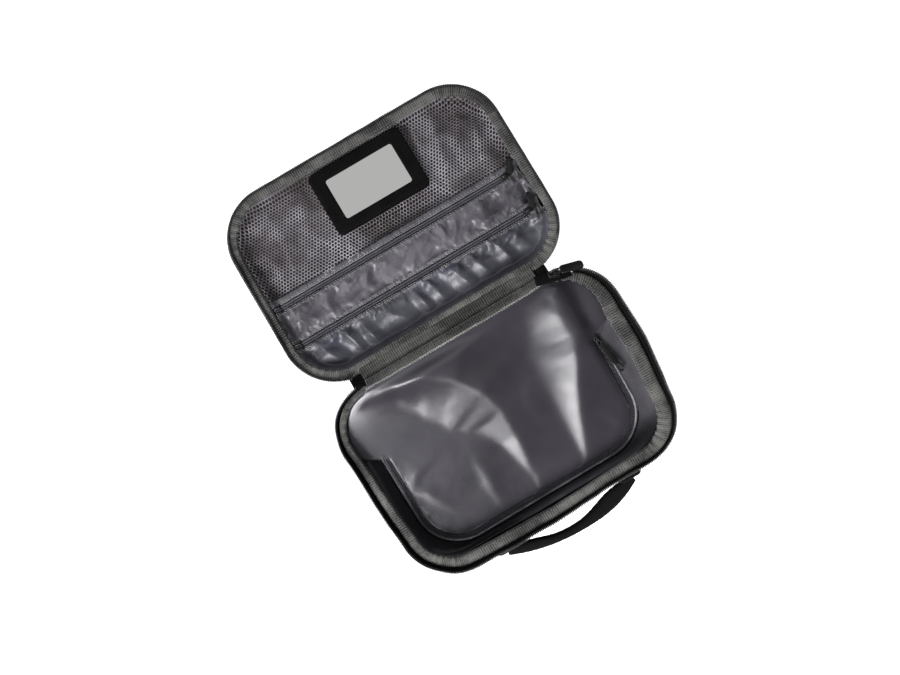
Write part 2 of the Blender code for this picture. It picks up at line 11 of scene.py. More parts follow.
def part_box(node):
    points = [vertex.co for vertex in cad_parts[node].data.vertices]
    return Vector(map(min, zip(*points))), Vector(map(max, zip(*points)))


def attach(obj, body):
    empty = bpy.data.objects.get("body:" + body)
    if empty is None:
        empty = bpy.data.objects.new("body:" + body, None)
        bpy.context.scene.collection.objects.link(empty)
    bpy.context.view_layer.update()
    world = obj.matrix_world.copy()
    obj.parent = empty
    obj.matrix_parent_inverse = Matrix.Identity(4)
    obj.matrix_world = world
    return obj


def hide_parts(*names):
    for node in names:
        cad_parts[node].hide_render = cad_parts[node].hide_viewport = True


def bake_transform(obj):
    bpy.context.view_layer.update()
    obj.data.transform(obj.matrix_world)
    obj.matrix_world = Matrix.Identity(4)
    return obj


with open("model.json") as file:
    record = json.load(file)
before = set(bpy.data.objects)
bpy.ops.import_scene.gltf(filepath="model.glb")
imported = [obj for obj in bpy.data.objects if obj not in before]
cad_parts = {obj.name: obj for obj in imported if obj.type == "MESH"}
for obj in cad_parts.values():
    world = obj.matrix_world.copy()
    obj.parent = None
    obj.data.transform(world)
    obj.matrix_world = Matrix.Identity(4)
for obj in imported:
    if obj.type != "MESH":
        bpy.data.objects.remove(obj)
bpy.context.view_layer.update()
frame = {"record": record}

MM = 0.001
TAU = 2 * math.pi
UP = Vector((0, 0, 1))
HERE = Matrix.Identity(4)

# Dimensions shared with the CAD parts. A tray's frame has its origin on the rim's hinge side, z up.
WIDTH, DEPTH, CORNER = 248 * MM, 172 * MM, 42 * MM
HALF_X, HALF_Y = WIDTH / 2 - CORNER, DEPTH / 2 - CORNER
BASE_H, LID_H = 60 * MM, 24 * MM
EDGE_R = 8 * MM
STRAIGHT_RIM = 8 * MM
HINGE_OUT = 1.4 * MM
STRIP = 16 * MM
BACK_Z, FRONT_Z = -8 * MM, -34 * MM
FLAP_X, FLAP_FRONT, FLAP_R = 100 * MM, -153 * MM, 35 * MM
UPPER_ZIP, LOWER_ZIP, POCKET_Z = 79 * MM, 44 * MM, -7 * MM
INNER = 5.0 * MM
MIRROR_X, MIRROR_Y = 4.5 * MM, 134 * MM
FRAME_W, FRAME_H = 88 * MM, 58 * MM
QUARTERS = ((1, 1), (-1, 1), (-1, -1), (1, -1))
ZIP_GAP = 1.9 * MM          # from the divider's zip line to the cloth sewn beside it

# Rows of stitches (length, pitch, thread radius) and zip coils (radius, pitch, wire radius), mm
SHELL_SEAM, BINDING_SEAM, FRAME_SEAM = (2.3, 3.2, 0.28), (1.9, 2.9, 0.17), (1.7, 2.5, 0.2)
OUTER_ZIP_SEAM, DIVIDER_ZIP_SEAM = (1.8, 2.6, 0.2), (1.5, 2.3, 0.26)
BACK_SEAM, HANDLE_SEAM, BOX_SEAM = (2.0, 2.4, 0.3), (2.1, 3.0, 0.26), (1.6, 2.2, 0.22)
POCKET_TAPE_SEAM, HEM_SEAM = (1.4, 2.4, 0.30), (1.5, 2.8, 0.26)
OUTER_TEETH, DIVIDER_TEETH, POCKET_TEETH = (1.0, 1.5, 0.36), (0.85, 1.25, 0.27), (0.68, 1.3, 0.24)


def smooth(t):
    t = min(max(t, 0.0), 1.0)
    return t * t * (3 - 2 * t)


def wobble(x, y, scale, seed):
    """Smooth noise between about -1 and 1 over a distance scale in metres."""
    return noise.noise(Vector((x / scale, y / scale, seed)))


def round_line(*pulls):
    """Smooth values for every half degree round a tray's centre, from (degrees, mm) pairs."""
    angles, values = zip(*pulls)
    line = np.interp(np.arange(0, 360, 0.5), angles, values, period=360)
    window = np.exp(-(np.arange(-40, 41) / 14.0) ** 2)
    return np.convolve(np.r_[line[-40:], line, line[:40]], window / window.sum(), "valid") * MM


def at_angle(line, x, y, side):
    return line[int(round(math.degrees(math.atan2(y - side * DEPTH / 2, x)) * 2)) % 720]


def inset_of(x, y, side):
    """Distance inside a tray's outline, and the outline's outward normal there."""
    qx, qy = abs(x) - HALF_X, abs(y - side * DEPTH / 2) - HALF_Y
    sx, sy = math.copysign(1, x), math.copysign(1, y - side * DEPTH / 2)
    if qx > 0 and qy > 0:
        far = math.hypot(qx, qy)
        return CORNER - far, sx * qx / far, sy * qy / far
    return (CORNER - qx, sx, 0.0) if qx > qy else (CORNER - qy, 0.0, sy)


class Bent:
    """A tray's frame that also pulls its rim out of the regular outline, as soft walls do."""

    def __init__(self, matrix, side, *pulls):
        self.matrix, self.side = matrix, side
        self.line = round_line(*pulls)

    def __matmul__(self, point):
        x, y, z = point
        down = smooth((z + 19 * MM) / (13 * MM))
        if down > 0:
            inside, nx, ny = inset_of(x, y, self.side)
            out = at_angle(self.line, x, y, self.side) * down * smooth(1 - inside / (45 * MM))
            x, y = x + nx * out, y + ny * out
        return self.matrix @ Vector((x, y, z))


joints = {j["name"]: j for j in frame["record"]["behaviour"]["joints"]}
fold = frame["record"]["behaviour"]["couplings"][0]["ratio"]
TILT = math.radians(joints["hinge_fold"]["range_deg"][1] * (1 + fold) - 180)
A = Vector(joints["hinge_fold"]["pos_m"])
B = Vector(joints["lid_fold"]["pos_m"])
LID = (Matrix.Translation(B + HINGE_OUT * Vector((0, math.cos(TILT), -math.sin(TILT))))
       @ Matrix.Rotation(-TILT, 4, "X"))
# where the base's soft rim stands in or out of the regular outline: degrees round, mm
BASE = Bent(Matrix.Translation(A - Vector((0, HINGE_OUT, 0))), -1,
            (19.5, 1.0), (33, 5), (44, 1), (50, 0), (130, 0), (136, 1), (146.6, 3.5),
            (161.7, -2.5), (184.2, -3.3), (197.5, -6), (213.4, -8.5), (227.1, -5), (242.4, -3.2),
            (270, -2.4), (300.2, -4), (313.6, -4.5), (326.6, -1.5), (342.5, -1.5), (355.8, 2),
            (367.4, 3))
# width of the binding, from the outline inwards, and how far it stands out over the outline
BINDING_WIDTH = {
    "base": round_line((0, 10), (15, 11.5), (34, 7), (46, 2.7), (134, 2.7), (150, 4.2), (163, 4.6),
                       (180, 6), (215, 7.5), (250, 8.2), (300, 7.8), (330, 11), (350, 9.5)),
    "lid": round_line((0, 6.2), (50, 6.6), (90, 6.8), (130, 6.0), (180, 4.6), (225, 6.4),
                      (270, 7.2), (315, 6.6), (340, 4.8))}
BINDING_OVER = {
    "base": round_line((0, 0.2), (180, 0.2)),
    "lid": round_line((0, 2.7), (180, 2.7), (226, 1.8), (235, 0.4), (305, 0.4), (318, 2.2))}
# how far the top of the outer zip's tape leans out of the outline
ZIP_LEAN = {
    "base": round_line((0, 5.6), (20, 5.4), (36, 3.0), (150, 3.2), (180, 4.6), (215, 3.6),
                       (240, 3.0), (270, 2.2), (300, 1.4), (325, 2.0), (345, 4.0)),
    "lid": round_line((0, 1.0), (180, 1.0), (214, 1.2), (224, 3.4), (232, 3.6), (240, 3.0),
                      (312, 2.4), (325, 1.0))}
# cloth at a joint, left where it is built: the two bodies, and where the turn starts and ends
ALONG = Vector((0, B.y - A.y, B.z - A.z)).normalized()
ROUND_A = ("base", "hinge_strip", A - ALONG * 1.6 * MM, A + ALONG * 2.2 * MM)
ROUND_B = ("hinge_strip", "lid", B - ALONG * 2.2 * MM, B + ALONG * 1.6 * MM)
flap_line, reach = Vector(joints["flap_hinge"]["pos_m"]), Vector((0, 11 * MM, 0))
ROUND_FLAP = ("base", "flap", flap_line + reach, flap_line - reach)


# ------------------------------------------------------------------ node materials

class Look:
    """A Principled material and short calls for the nodes that feed it."""

    def __init__(self, name, **values):
        self.mat = bpy.data.materials.new(name)
        self.mat.use_nodes = True
        self.tree = self.mat.node_tree
        self.shader = self.tree.nodes["Principled BSDF"]
        for key, value in values.items():
            self.shader.inputs[key.replace("_", " ")].default_value = value

    def node(self, kind, inputs=(), **props):
        made = self.tree.nodes.new("ShaderNode" + kind)
        for key, value in props.items():
            setattr(made, key, value)
        for key, value in dict(inputs).items():
            if isinstance(value, bpy.types.NodeSocket):
                self.tree.links.new(value, made.inputs[key])
            else:
                made.inputs[key].default_value = value
        return made

    def space(self, cloth=False):
        """Cloth coordinates follow the sheet; the others are the object's own."""
        if cloth:
            source = self.node("UVMap", uv_map="cloth").outputs[0]
        else:
            source = self.node("TexCoord").outputs["Object"]
        return self.node("Mapping", {"Vector": source}).outputs[0]

    def noise(self, vector, scale, detail=3, rough=0.5):
        return self.node("TexNoise", {"Vector": vector, "Scale": scale, "Detail": detail,
                                      "Roughness": rough}).outputs["Fac"]

    def bands(self, vector, pitch, direction="X", warp=0.0):
        """One band for each pitch, in metres."""
        return self.node("TexWave", {"Vector": vector, "Scale": math.pi / 10 / pitch,
                                     "Distortion": warp, "Detail": 1},
                         bands_direction=direction).outputs["Fac"]

    def weave(self, vector, pitch):
        return self.times(self.bands(vector, pitch, "X"), self.bands(vector, pitch, "Y"))

    def times(self, a, b):
        return self.node("Math", {0: a, 1: b}, operation="MULTIPLY").outputs[0]

    def plus(self, a, b):
        return self.node("Math", {0: a, 1: b}, operation="ADD").outputs[0]

    def ramp(self, fac, *stops):
        made = self.node("ValToRGB", {"Fac": fac})
        for element, (place, colour) in zip(made.color_ramp.elements, stops):
            element.position = place
            element.color = (*colour, 1)
        return made.outputs["Color"]

    def level(self, fac, low, high, start=0.0, end=1.0):
        return self.node("MapRange", {"Value": fac, "From Min": start, "From Max": end,
                                      "To Min": low, "To Max": high}).outputs["Result"]

    def mix(self, fac, a, b):
        a, b = (v if isinstance(v, bpy.types.NodeSocket) else (*v, 1) for v in (a, b))
        return self.node("Mix", {0: fac, 6: a, 7: b}, data_type="RGBA").outputs[2]

    def bump(self, height, strength, distance, below=None):
        wired = {"Height": height, "Strength": strength, "Distance": distance}
        if below:
            wired["Normal"] = below
        return self.node("Bump", wired).outputs["Normal"]

    def finish(self, colour, rough, normal):
        for key, value in (("Base Color", colour), ("Roughness", rough), ("Normal", normal)):
            if value is not None:
                self.tree.links.new(value, self.shader.inputs[key])
        return self.mat


def woven(name, dark, light, pitch, rough=(0.7, 0.9), sheen=0.06, specular=0.12, patches=25.0,
          cloth=True):
    """Plain weave: warp and weft bands over slow colour variation and fine fibre noise."""
    look = Look(name, Sheen_Weight=sheen, Sheen_Roughness=0.4, Specular_IOR_Level=specular)
    at = look.space(cloth)
    weave = look.weave(at, pitch)
    slow = look.noise(at, patches, 4)
    fibre = look.noise(at, 2600, 2, 0.7)
    colour = look.ramp(look.plus(look.times(weave, 0.45), look.times(slow, 0.6)),
                       (0.15, dark), (0.85, light))
    normal = look.bump(look.plus(weave, look.times(fibre, 0.5)), 0.6, 0.25 * MM,
                       look.bump(slow, 0.2, 1.5 * MM))
    return look.finish(colour, look.level(slow, *rough, 0.3, 0.7), normal)


def coated(name, dark, light, rough, reflection_tint=None, crinkle=0.35, scale=140.0):
    """Thin coated nylon: a fine weave under a glossy face, with small crinkles."""
    look = Look(name, Specular_IOR_Level=0.55, Sheen_Weight=0.05, Coat_Roughness=0.3)
    at = look.space()
    fine = look.noise(at, scale, 5, 0.62)
    colour = look.ramp(look.noise(at, 18, 3), (0.3, dark), (0.7, light))
    # painted reflection: bluish patches spread by noise stand in for a cool reflection in the folds
    if reflection_tint:
        colour = look.mix(look.level(look.noise(at, 9, 2), 0, 0.8, 0.5, 0.68), colour, reflection_tint)
    weave = look.weave(look.space(cloth=True), math.pi / 14000)
    normal = look.bump(weave, 0.12, 0.08 * MM, look.bump(fine, crinkle, 1.0 * MM))
    return look.finish(colour, look.level(fine, *rough, 0.25, 0.75), normal)


def ribbed_tape(name, dark, light, pitch):
    """Grosgrain ribbon: ribs across the tape, coloured lighter on their crests."""
    look = Look(name, Sheen_Weight=0.35, Sheen_Roughness=0.35, Specular_IOR_Level=0.35)
    at = look.space(cloth=True)
    rib = look.bands(at, pitch, "X", 1.2)
    thread = look.bands(at, 0.6 * MM, "Y")
    worn = look.level(look.noise(at, 21, 3), 0.55, 1.25, 0.38, 0.62)
    slow = look.times(look.noise(at, 55, 4, 0.65), worn)
    fuzz = look.noise(at, 900, 3, 0.7)
    tone = look.plus(look.plus(look.times(rib, 0.24), look.times(slow, 0.98)),
                     look.times(fuzz, 0.55))
    height = look.plus(look.plus(rib, look.times(thread, 0.25)), look.times(fuzz, 0.5))
    normal = look.bump(height, 0.9, 0.4 * MM, look.bump(slow, 0.35, 1.2 * MM))
    return look.finish(look.ramp(tone, (0.62, dark), (1.12, light)),
                       look.level(slow, 0.62, 0.85, 0.3, 0.7), normal)


def knitted_painted_fold_shade(name, dark, middle, light):
    """Knitted mesh: slow dark and light patches painted in as the shade and light of its folds,
    over fine shiny filaments.
    """
    look = Look(name, Specular_IOR_Level=0.9, Sheen_Weight=0.1)
    at = look.space()
    slow = look.noise(at, 24, 3, 0.5)
    fibre = look.noise(at, 1500, 3, 0.7)
    tone = look.plus(slow, look.times(look.level(fibre, -0.5, 0.5, 0.2, 0.8), 0.10))
    # painted shade and light: the slow noise mixes dark, middle and light tones that stand in for
    # the shading of the net's folds
    colour = look.mix(look.level(slow, 0, 1, 0.5, 0.66),
                      look.ramp(tone, (0.36, dark), (0.52, middle)), light)
    return look.finish(colour, look.level(slow, 0.3, 0.5, 0.3, 0.7),
                       look.bump(fibre, 0.5, 0.15 * MM))


def moulded(name, dark, light, rough, metallic=0.0, specular=0.5, coat=0.0):
    """Moulded plastic, lacquered metal or coil: slight mottling, fine grain and worn edges."""
    look = Look(name, Metallic=metallic, Specular_IOR_Level=specular, Coat_Weight=coat)
    at = look.space()
    fine = look.noise(at, 900.0, 3, 0.6)
    edge = look.level(look.node("NewGeometry").outputs["Pointiness"], 0, 1, 0.52, 0.62)
    colour = look.mix(look.times(edge, 0.5),
                      look.ramp(look.noise(at, 160, 3), (0.3, dark), (0.7, light)),
                      tuple(min(1, 2.2 * c + 0.02) for c in light))
    return look.finish(colour, look.level(fine, *rough, 0.3, 0.7),
                       look.bump(fine, 0.25, 0.06 * MM))


def leather(name):
    look = Look(name, Specular_IOR_Level=0.06, Coat_Weight=0.01, Coat_Roughness=0.35)
    at = look.space()
    pebbles = look.node("TexVoronoi", {"Vector": at, "Scale": 1100},
                        feature="DISTANCE_TO_EDGE").outputs["Distance"]
    crack = look.level(pebbles, 0, 1, 0.0, 0.22)
    slow = look.noise(at, 60, 3)
    colour = look.ramp(look.times(crack, slow), (0.1, (0.0015, 0.0015, 0.0015)),
                       (0.6, (0.006, 0.006, 0.0063)))
    normal = look.bump(crack, 0.35, 0.15 * MM, look.bump(slow, 0.15, 0.6 * MM))
    return look.finish(colour, look.level(slow, 0.42, 0.6, 0.3, 0.7), normal)


def silvered(name):
    look = Look(name, Metallic=1.0, Base_Color=(0.62, 0.62, 0.61, 1))
    haze = look.noise(look.space(), 30, 2)
    return look.finish(None, look.level(haze, 0.03, 0.07, 0.3, 0.7),
                       look.bump(haze, 0.01, 0.3 * MM))


def foamed(name):
    look = Look(name, Specular_IOR_Level=0.2)
    cells = look.node("TexVoronoi", {"Vector": look.space(), "Scale": 1500}).outputs["Distance"]
    colour = look.ramp(cells, (0.0, (0.2, 0.2, 0.21)), (0.6, (0.4, 0.4, 0.41)))
    return look.finish(colour, look.level(cells, 0.85, 1.0), look.bump(cells, 0.4, 0.3 * MM))


SHELL = woven("shell_fabric", (0.0025, 0.0025, 0.003), (0.010, 0.010, 0.0105), 0.9 * MM,
              sheen=0.02, specular=0.08)
TAPE = woven("outer_tape", (0.004, 0.004, 0.0043), (0.010, 0.010, 0.010), 0.7 * MM,
             sheen=0.0, specular=0.05)
HANDLE = woven("handle_webbing", (0.003, 0.003, 0.0035), (0.012, 0.012, 0.012), 1.1 * MM,
               sheen=0.02, specular=0.08)
POCKET_TAPE = woven("pocket_tape", (0.022, 0.021, 0.026), (0.16, 0.155, 0.175), 1.3 * MM,
                    rough=(0.4, 0.6), sheen=0.1, specular=0.4, patches=110)
ZIP_BLACK = woven("divider_tape", (0.004, 0.004, 0.005), (0.022, 0.021, 0.026), 0.8 * MM,
                  patches=60)
THREAD = woven("black_thread", (0.003, 0.003, 0.003), (0.010, 0.010, 0.010), 0.3 * MM, cloth=False)
GREY_THREAD = woven("grey_thread", (0.14, 0.14, 0.15), (0.34, 0.34, 0.35), 0.3 * MM, cloth=False)
PALE_THREAD = woven("pale_thread", (0.28, 0.28, 0.27), (0.5, 0.5, 0.48), 0.3 * MM, cloth=False)
BINDING = ribbed_tape("grosgrain", (0.008, 0.008, 0.0075), (0.140, 0.140, 0.130), 2.0 * MM)
WELT = ribbed_tape("sewn_edge", (0.035, 0.034, 0.038), (0.26, 0.255, 0.27), 2.2 * MM)
PALE_EDGE = ribbed_tape("pale_edge", (0.09, 0.09, 0.085), (0.34, 0.34, 0.32), 1.6 * MM)
HINGE_FACE = ribbed_tape("hinge_grosgrain", (0.012, 0.012, 0.011), (0.085, 0.085, 0.078), 2.0 * MM)
LINING = coated("lining_fabric", (0.045, 0.043, 0.050), (0.085, 0.082, 0.093), (0.26, 0.44))
# painted shade: the lid's lining, seen through the net's holes, and the covers over the zip ends
# are coloured near-black for shade, not the grey lining's own colour
SHADE_DARK_LINING = coated("inner_lining", (0.010, 0.009, 0.011), (0.020, 0.018, 0.021), (0.4, 0.6))
CRINKLED = coated("crinkled_lining", (0.040, 0.037, 0.045), (0.115, 0.11, 0.125), (0.28, 0.42),
                  crinkle=0.6, scale=260)
# loose lining: the blue tint given below is a painted reflection, not the cloth's own colour
LOOSE_LINING = coated("loose_lining", (0.026, 0.027, 0.036), (0.070, 0.069, 0.084), (0.34, 0.46),
                      reflection_tint=(0.030, 0.042, 0.075), crinkle=0.35, scale=220)
DIVIDER = coated("divider_fabric", (0.024, 0.022, 0.028), (0.040, 0.037, 0.045), (0.27, 0.33),
                 crinkle=0.02, scale=60)
# net colours: the dark, middle and light tones are painted shade and light for the folds
NET = knitted_painted_fold_shade("net_fabric", (0.085, 0.068, 0.068), (0.17, 0.15, 0.165), (0.38, 0.365, 0.40))
COIL = moulded("outer_coil", (0.006, 0.006, 0.007), (0.018, 0.018, 0.02), (0.3, 0.45))
LIGHT_COIL = moulded("light_coil", (0.035, 0.034, 0.042), (0.10, 0.097, 0.115), (0.3, 0.45))
DARK_COIL = moulded("pocket_coil", (0.010, 0.009, 0.013), (0.035, 0.033, 0.042), (0.3, 0.45))
METAL = moulded("slider_lacquer", (0.006, 0.006, 0.007), (0.014, 0.014, 0.015), (0.22, 0.38),
                metallic=0.4, coat=0.2)
PULL = moulded("soft_pull", (0.002, 0.002, 0.002), (0.005, 0.005, 0.005), (0.3, 0.42),
               specular=0.25)
BOARD = moulded("board_plastic", (0.04, 0.04, 0.045), (0.06, 0.06, 0.065), (0.5, 0.65))
LEATHER = leather("frame_leatherette")
MIRROR = silvered("mirror_silver")
FOAM = foamed("foam_cells")

Tray = namedtuple("Tray", "name side height most frame folds lining")
TRAYS = (Tray("base", -1, BASE_H, 4.5 * MM, BASE, 1.1 * MM, LINING),
         Tray("lid", 1, LID_H, 1.5 * MM, LID, 0.4 * MM, SHADE_DARK_LINING))


# ------------------------------------------------------------------ mesh helpers

def linked(name, mesh, look):
    mesh.materials.append(look)
    made = bpy.data.objects.new(name, mesh)
    bpy.context.scene.collection.objects.link(made)
    return made


def build(name, verts, faces, look, uvs=None):
    mesh = bpy.data.meshes.new(name)
    mesh.from_pydata([tuple(v) for v in verts], [], faces)
    if uvs is not None:
        layer = mesh.uv_layers.new(name="cloth")
        index = np.empty(len(mesh.loops), np.int32)
        mesh.loops.foreach_get("vertex_index", index)
        layer.data.foreach_set("uv", np.asarray(uvs, np.float32)[index].ravel())
    mesh.shade_smooth()
    return linked(name, mesh, look)


def bands_between(first, rings, sides, closed):
    """Faces between rings of points that follow one another."""
    return [(first + r * sides + k, first + r * sides + (k + 1) % sides,
             first + (r + 1) * sides + (k + 1) % sides, first + (r + 1) * sides + k)
            for r in range(rings - 1) for k in range(sides if closed else sides - 1)]


def grid(name, rows, look, matrix, closed=False, floor=False, uvs=None):
    """A surface through equally long rows of points, mapped by matrix to the world."""
    count = len(rows[0])
    faces = bands_between(0, len(rows), count, closed)
    if floor:
        faces.append(tuple(range((len(rows) - 1) * count, len(rows) * count)))
    if uvs is None:
        length = lambda a, b: (Vector(a) - Vector(b)).length
        along = np.r_[0, np.cumsum([length(*pair) for pair in zip(rows[0][1:], rows[0])])]
        down = np.r_[0, np.cumsum([length(b[count // 2], a[count // 2])
                                   for a, b in zip(rows, rows[1:])])]
        uvs = [(u, v) for v in down for u in along]
    return build(name, [matrix @ Vector(p) for row in rows for p in row], faces, look, uvs)


def apply_all(obj):
    """Turn the modifiers into plain mesh."""
    bpy.context.view_layer.update()
    shape = obj.evaluated_get(bpy.context.evaluated_depsgraph_get())
    mesh, old = bpy.data.meshes.new_from_object(shape), obj.data
    obj.modifiers.clear()
    obj.data = mesh
    bpy.data.meshes.remove(old)
    return obj


def thick(obj, thickness):
    """Turn a sheet into cloth, half its thickness on each side."""
    solid = obj.modifiers.new("thickness", "SOLIDIFY")
    solid.thickness, solid.offset = thickness, 0.0
    return apply_all(obj)


def edited(obj, *changes):
    """Run bmesh changes on a piece's mesh."""
    shape = bmesh.new()
    shape.from_mesh(obj.data)
    for change in changes:
        change(shape)
    shape.to_mesh(obj.data)
    shape.free()
    return obj


def point_out(shape):
    bmesh.ops.recalc_face_normals(shape, faces=shape.faces)


def close_ends(shape):
    bmesh.ops.holes_fill(shape, edges=[e for e in shape.edges if len(e.link_faces) == 1], sides=0)


def weld(shape):
    bmesh.ops.remove_doubles(shape, verts=shape.verts, dist=0.001 * MM)


def placed(obj, body, slot, *nodes):
    """Rides a piece on its body; a piece given the two bodies of a ROUND_ row stays fixed where it
    is built.
    """
    if nodes:
        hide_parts(*nodes)
    if isinstance(body, str):
        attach(obj, body)
    else:
        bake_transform(obj)
    return obj


def resample(points, step, closed=False):
    """Evenly spaced points on a polyline, with the length between them close to step."""
    pts = np.array([tuple(p) for p in points], float)
    if closed:
        pts = np.vstack([pts, pts[:1]])
    lengths = np.r_[0, np.cumsum(np.linalg.norm(np.diff(pts, axis=0), axis=1))]
    places = np.linspace(0, lengths[-1], max(2, int(round(lengths[-1] / step)) + 1))
    if closed:
        places = places[:-1]
    return np.stack([np.interp(places, lengths, pts[:, k]) for k in range(3)], axis=1)


def unit(v):
    return v / np.maximum(np.linalg.norm(v, axis=-1), 1e-12)[..., None]


def tangents(pts, closed=False):
    if closed:
        return unit(np.roll(pts, -1, axis=0) - np.roll(pts, 1, axis=0))
    return unit(np.gradient(pts, axis=0))


def tube(name, pts, radius, look, sides=8, up=(0, 0, 1), flat=1.0, matrix=HERE, closed=False):
    """A swept tube; radius is a number or one per point, flat squeezes it along up."""
    pts = np.asarray(pts, float)
    count = len(pts)
    along = tangents(pts, closed)
    across = unit(np.cross(along, np.broadcast_to(np.asarray(up, float), pts.shape)))
    lift = unit(np.cross(across, along))
    radii = np.broadcast_to(np.asarray(radius, float), (count,))
    turn = np.arange(sides) * TAU / sides
    ring = (across[:, None] * np.cos(turn)[None, :, None]
            + flat * lift[:, None] * np.sin(turn)[None, :, None])
    verts = (pts[:, None] + ring * radii[:, None, None]).reshape(-1, 3)
    length = np.r_[0, np.cumsum(np.linalg.norm(np.diff(pts, axis=0), axis=1))]
    uvs = [(s, k / sides * TAU * r) for s, r in zip(length, radii) for k in range(sides)]
    faces = bands_between(0, count, sides, True)
    ends = (tuple(range(sides)), tuple(range((count - 1) * sides, count * sides)))
    if closed:
        faces += [(ends[1][k], ends[1][(k + 1) % sides], (k + 1) % sides, k) for k in range(sides)]
    else:
        faces += [ends[0][::-1], ends[1]]
    return edited(build(name, [matrix @ Vector(v) for v in verts], faces, look, uvs), point_out)


def coil(name, path, out, size, look, matrix, phase=0.0, squash=0.8):
    """A zip's coil: a helix along the path, whose loops stand across it."""
    steps = 9
    radius, pitch, wire = (s * MM for s in size)
    centre = resample(path, pitch / steps)
    share = np.linspace(0, 1, len(centre))
    away = unit(np.stack([np.interp(share, np.linspace(0, 1, len(out)),
                                    np.asarray(out, float)[:, k]) for k in range(3)], axis=1))
    turn = (np.arange(len(centre)) / steps * TAU + phase)[:, None]
    radial = away * np.cos(turn) + np.array(UP) * np.sin(turn) * squash
    return tube(name, centre + radial * radius, wire, look, 5, unit(radial), matrix=matrix)


def sew(name, path, size, look, matrix, body, slot, up=(0, 0, 1), closed=False):
    """A row of separate stitches lying on the cloth along a path; up=None is for a wall."""
    length, pitch, radius = (s * MM for s in size)
    pts = resample(path, pitch, closed)
    along = tangents(pts, closed)
    if up is None:
        up = unit(np.cross(along, UP))
    lift = np.broadcast_to(np.asarray(up, float), pts.shape)
    across = unit(np.cross(along, lift))
    profile = ((-0.5, 0.25, -0.5), (-0.38, 0.85, 0.25), (0.0, 1.0, 0.55), (0.38, 0.85, 0.25),
               (0.5, 0.25, -0.5))
    sides, rings = 5, len(profile)
    turns = [TAU * k / sides for k in range(sides)]
    verts, faces = [], []
    for p, t, a, l in zip(pts, along, across, lift):
        first = len(verts)
        verts += [matrix @ Vector(p + t * place * length + l * height * radius
                                  + (a * math.cos(turn) + l * math.sin(turn)) * wide * radius)
                  for place, wide, height in profile for turn in turns]
        faces += bands_between(first, rings, sides, True)
        faces += [tuple(range(first, first + sides))[::-1],
                  tuple(range(first + (rings - 1) * sides, first + rings * sides))]
    return placed(edited(build(name, verts, faces, look), point_out), body, slot)


# ------------------------------------------------------------------ tray outline

def rim(side, step):
    """Evenly spaced samples round a rim: x, y, outward normal, mid-side share, corner share."""
    samples = []
    for quarter, (sx, sy) in enumerate(QUARTERS):
        cx, cy = sx * HALF_X, sy * HALF_Y + side * DEPTH / 2
        count = max(2, round(math.pi / 2 * CORNER / step))
        for i in range(count):
            angle = math.pi / 2 * (quarter + i / count)
            n = (math.cos(angle), math.sin(angle))
            samples.append((cx + CORNER * n[0], cy + CORNER * n[1], *n, 0.0,
                            math.sin(math.pi * i / count) ** 0.5))
        angle = math.pi / 2 * (quarter + 1)
        n = (math.cos(angle), math.sin(angle))
        length = 2 * (HALF_Y if quarter % 2 else HALF_X)
        count = max(2, round(length / step))
        for t in (i / count for i in range(count)):
            samples.append((cx + CORNER * n[0] - n[1] * length * t,
                            cy + CORNER * n[1] + n[0] * length * t, *n, 4 * t * (1 - t), 0.0))
    return samples


def bulge(z, tray, mid):
    """How far a tray's wall bulges at height z; half as far at the ends of a side."""
    span, depth = tray.height - STRAIGHT_RIM, -z - STRAIGHT_RIM
    out = tray.most * math.sin(math.pi * depth / span) if 0 < depth < span else 0.0
    return out * (0.5 + 0.5 * mid)


def no_dent(*place):
    return 0.0


def tray_rows(tray, step, inset, floor, top, thickness, dent=no_dent):
    """Rows of a tray's wall, rounded edge and floor; dent moves the wall along its normal."""
    samples = rim(tray.side, step)
    inset += thickness / 2
    radius = EDGE_R - floor - thickness / 2
    bottom = -tray.height + floor + thickness / 2
    wall = tray.height + top - EDGE_R
    count = max(3, round(wall / step))

    def ring(inwards, z, push):
        row = []
        for x, y, nx, ny, mid, _ in samples:
            out = bulge(z, tray, mid) - inwards
            x, y = x + nx * out, y + ny * out
            out = push(x, y, z, nx, ny)
            row.append((x + nx * out, y + ny * out, z))
        return row

    rows = [ring(inset, top - wall * i / count, dent) for i in range(count + 1)]
    rows += [ring(inset + radius * (1 - math.cos(a)), bottom + radius * (1 - math.sin(a)), no_dent)
             for a in map(math.radians, (15, 30, 45, 60, 75, 90))]
    centre, edge = Vector((0, tray.side * DEPTH / 2, bottom)), rows[-1]
    for share in (0.93, 0.84, 0.72, 0.58, 0.42, 0.26, 0.12):
        row = [centre.lerp(Vector(p), share) for p in edge]
        rows.append([(q.x, q.y, q.z + 0.25 * MM * wobble(q.x, q.y, 30 * MM, 3.0)) for q in row])
    return rows


def path_round(side, start, end=350, step=1.5 * MM):
    """The open path of the outer zip round three sides, with its outward normals."""
    near = -side * HALF_Y
    points, normals = [], []
    for cx, cy, first, last in ((HALF_X, near, start, 90), (HALF_X, -near, 90, 180),
                                (-HALF_X, -near, 180, 270), (-HALF_X, near, 270, end)):
        count = max(2, round(math.radians(last - first) * CORNER / step))
        for i in range(count + 1):
            angle = math.radians(first + (last - first) * i / count)
            n = Vector((math.sin(angle), -side * math.cos(angle), 0))
            p = Vector((cx, cy + side * DEPTH / 2, 0)) + n * CORNER
            if points and (p - points[-1]).length > 2 * step:
                pieces = round((p - points[-1]).length / step)
                for k in range(1, pieces):
                    points.append(points[-1].lerp(p, 1 / (pieces - k + 1)))
                    normals.append(n.copy())
            points.append(p)
            normals.append(n)
    return points, normals


# ------------------------------------------------------------------ trays

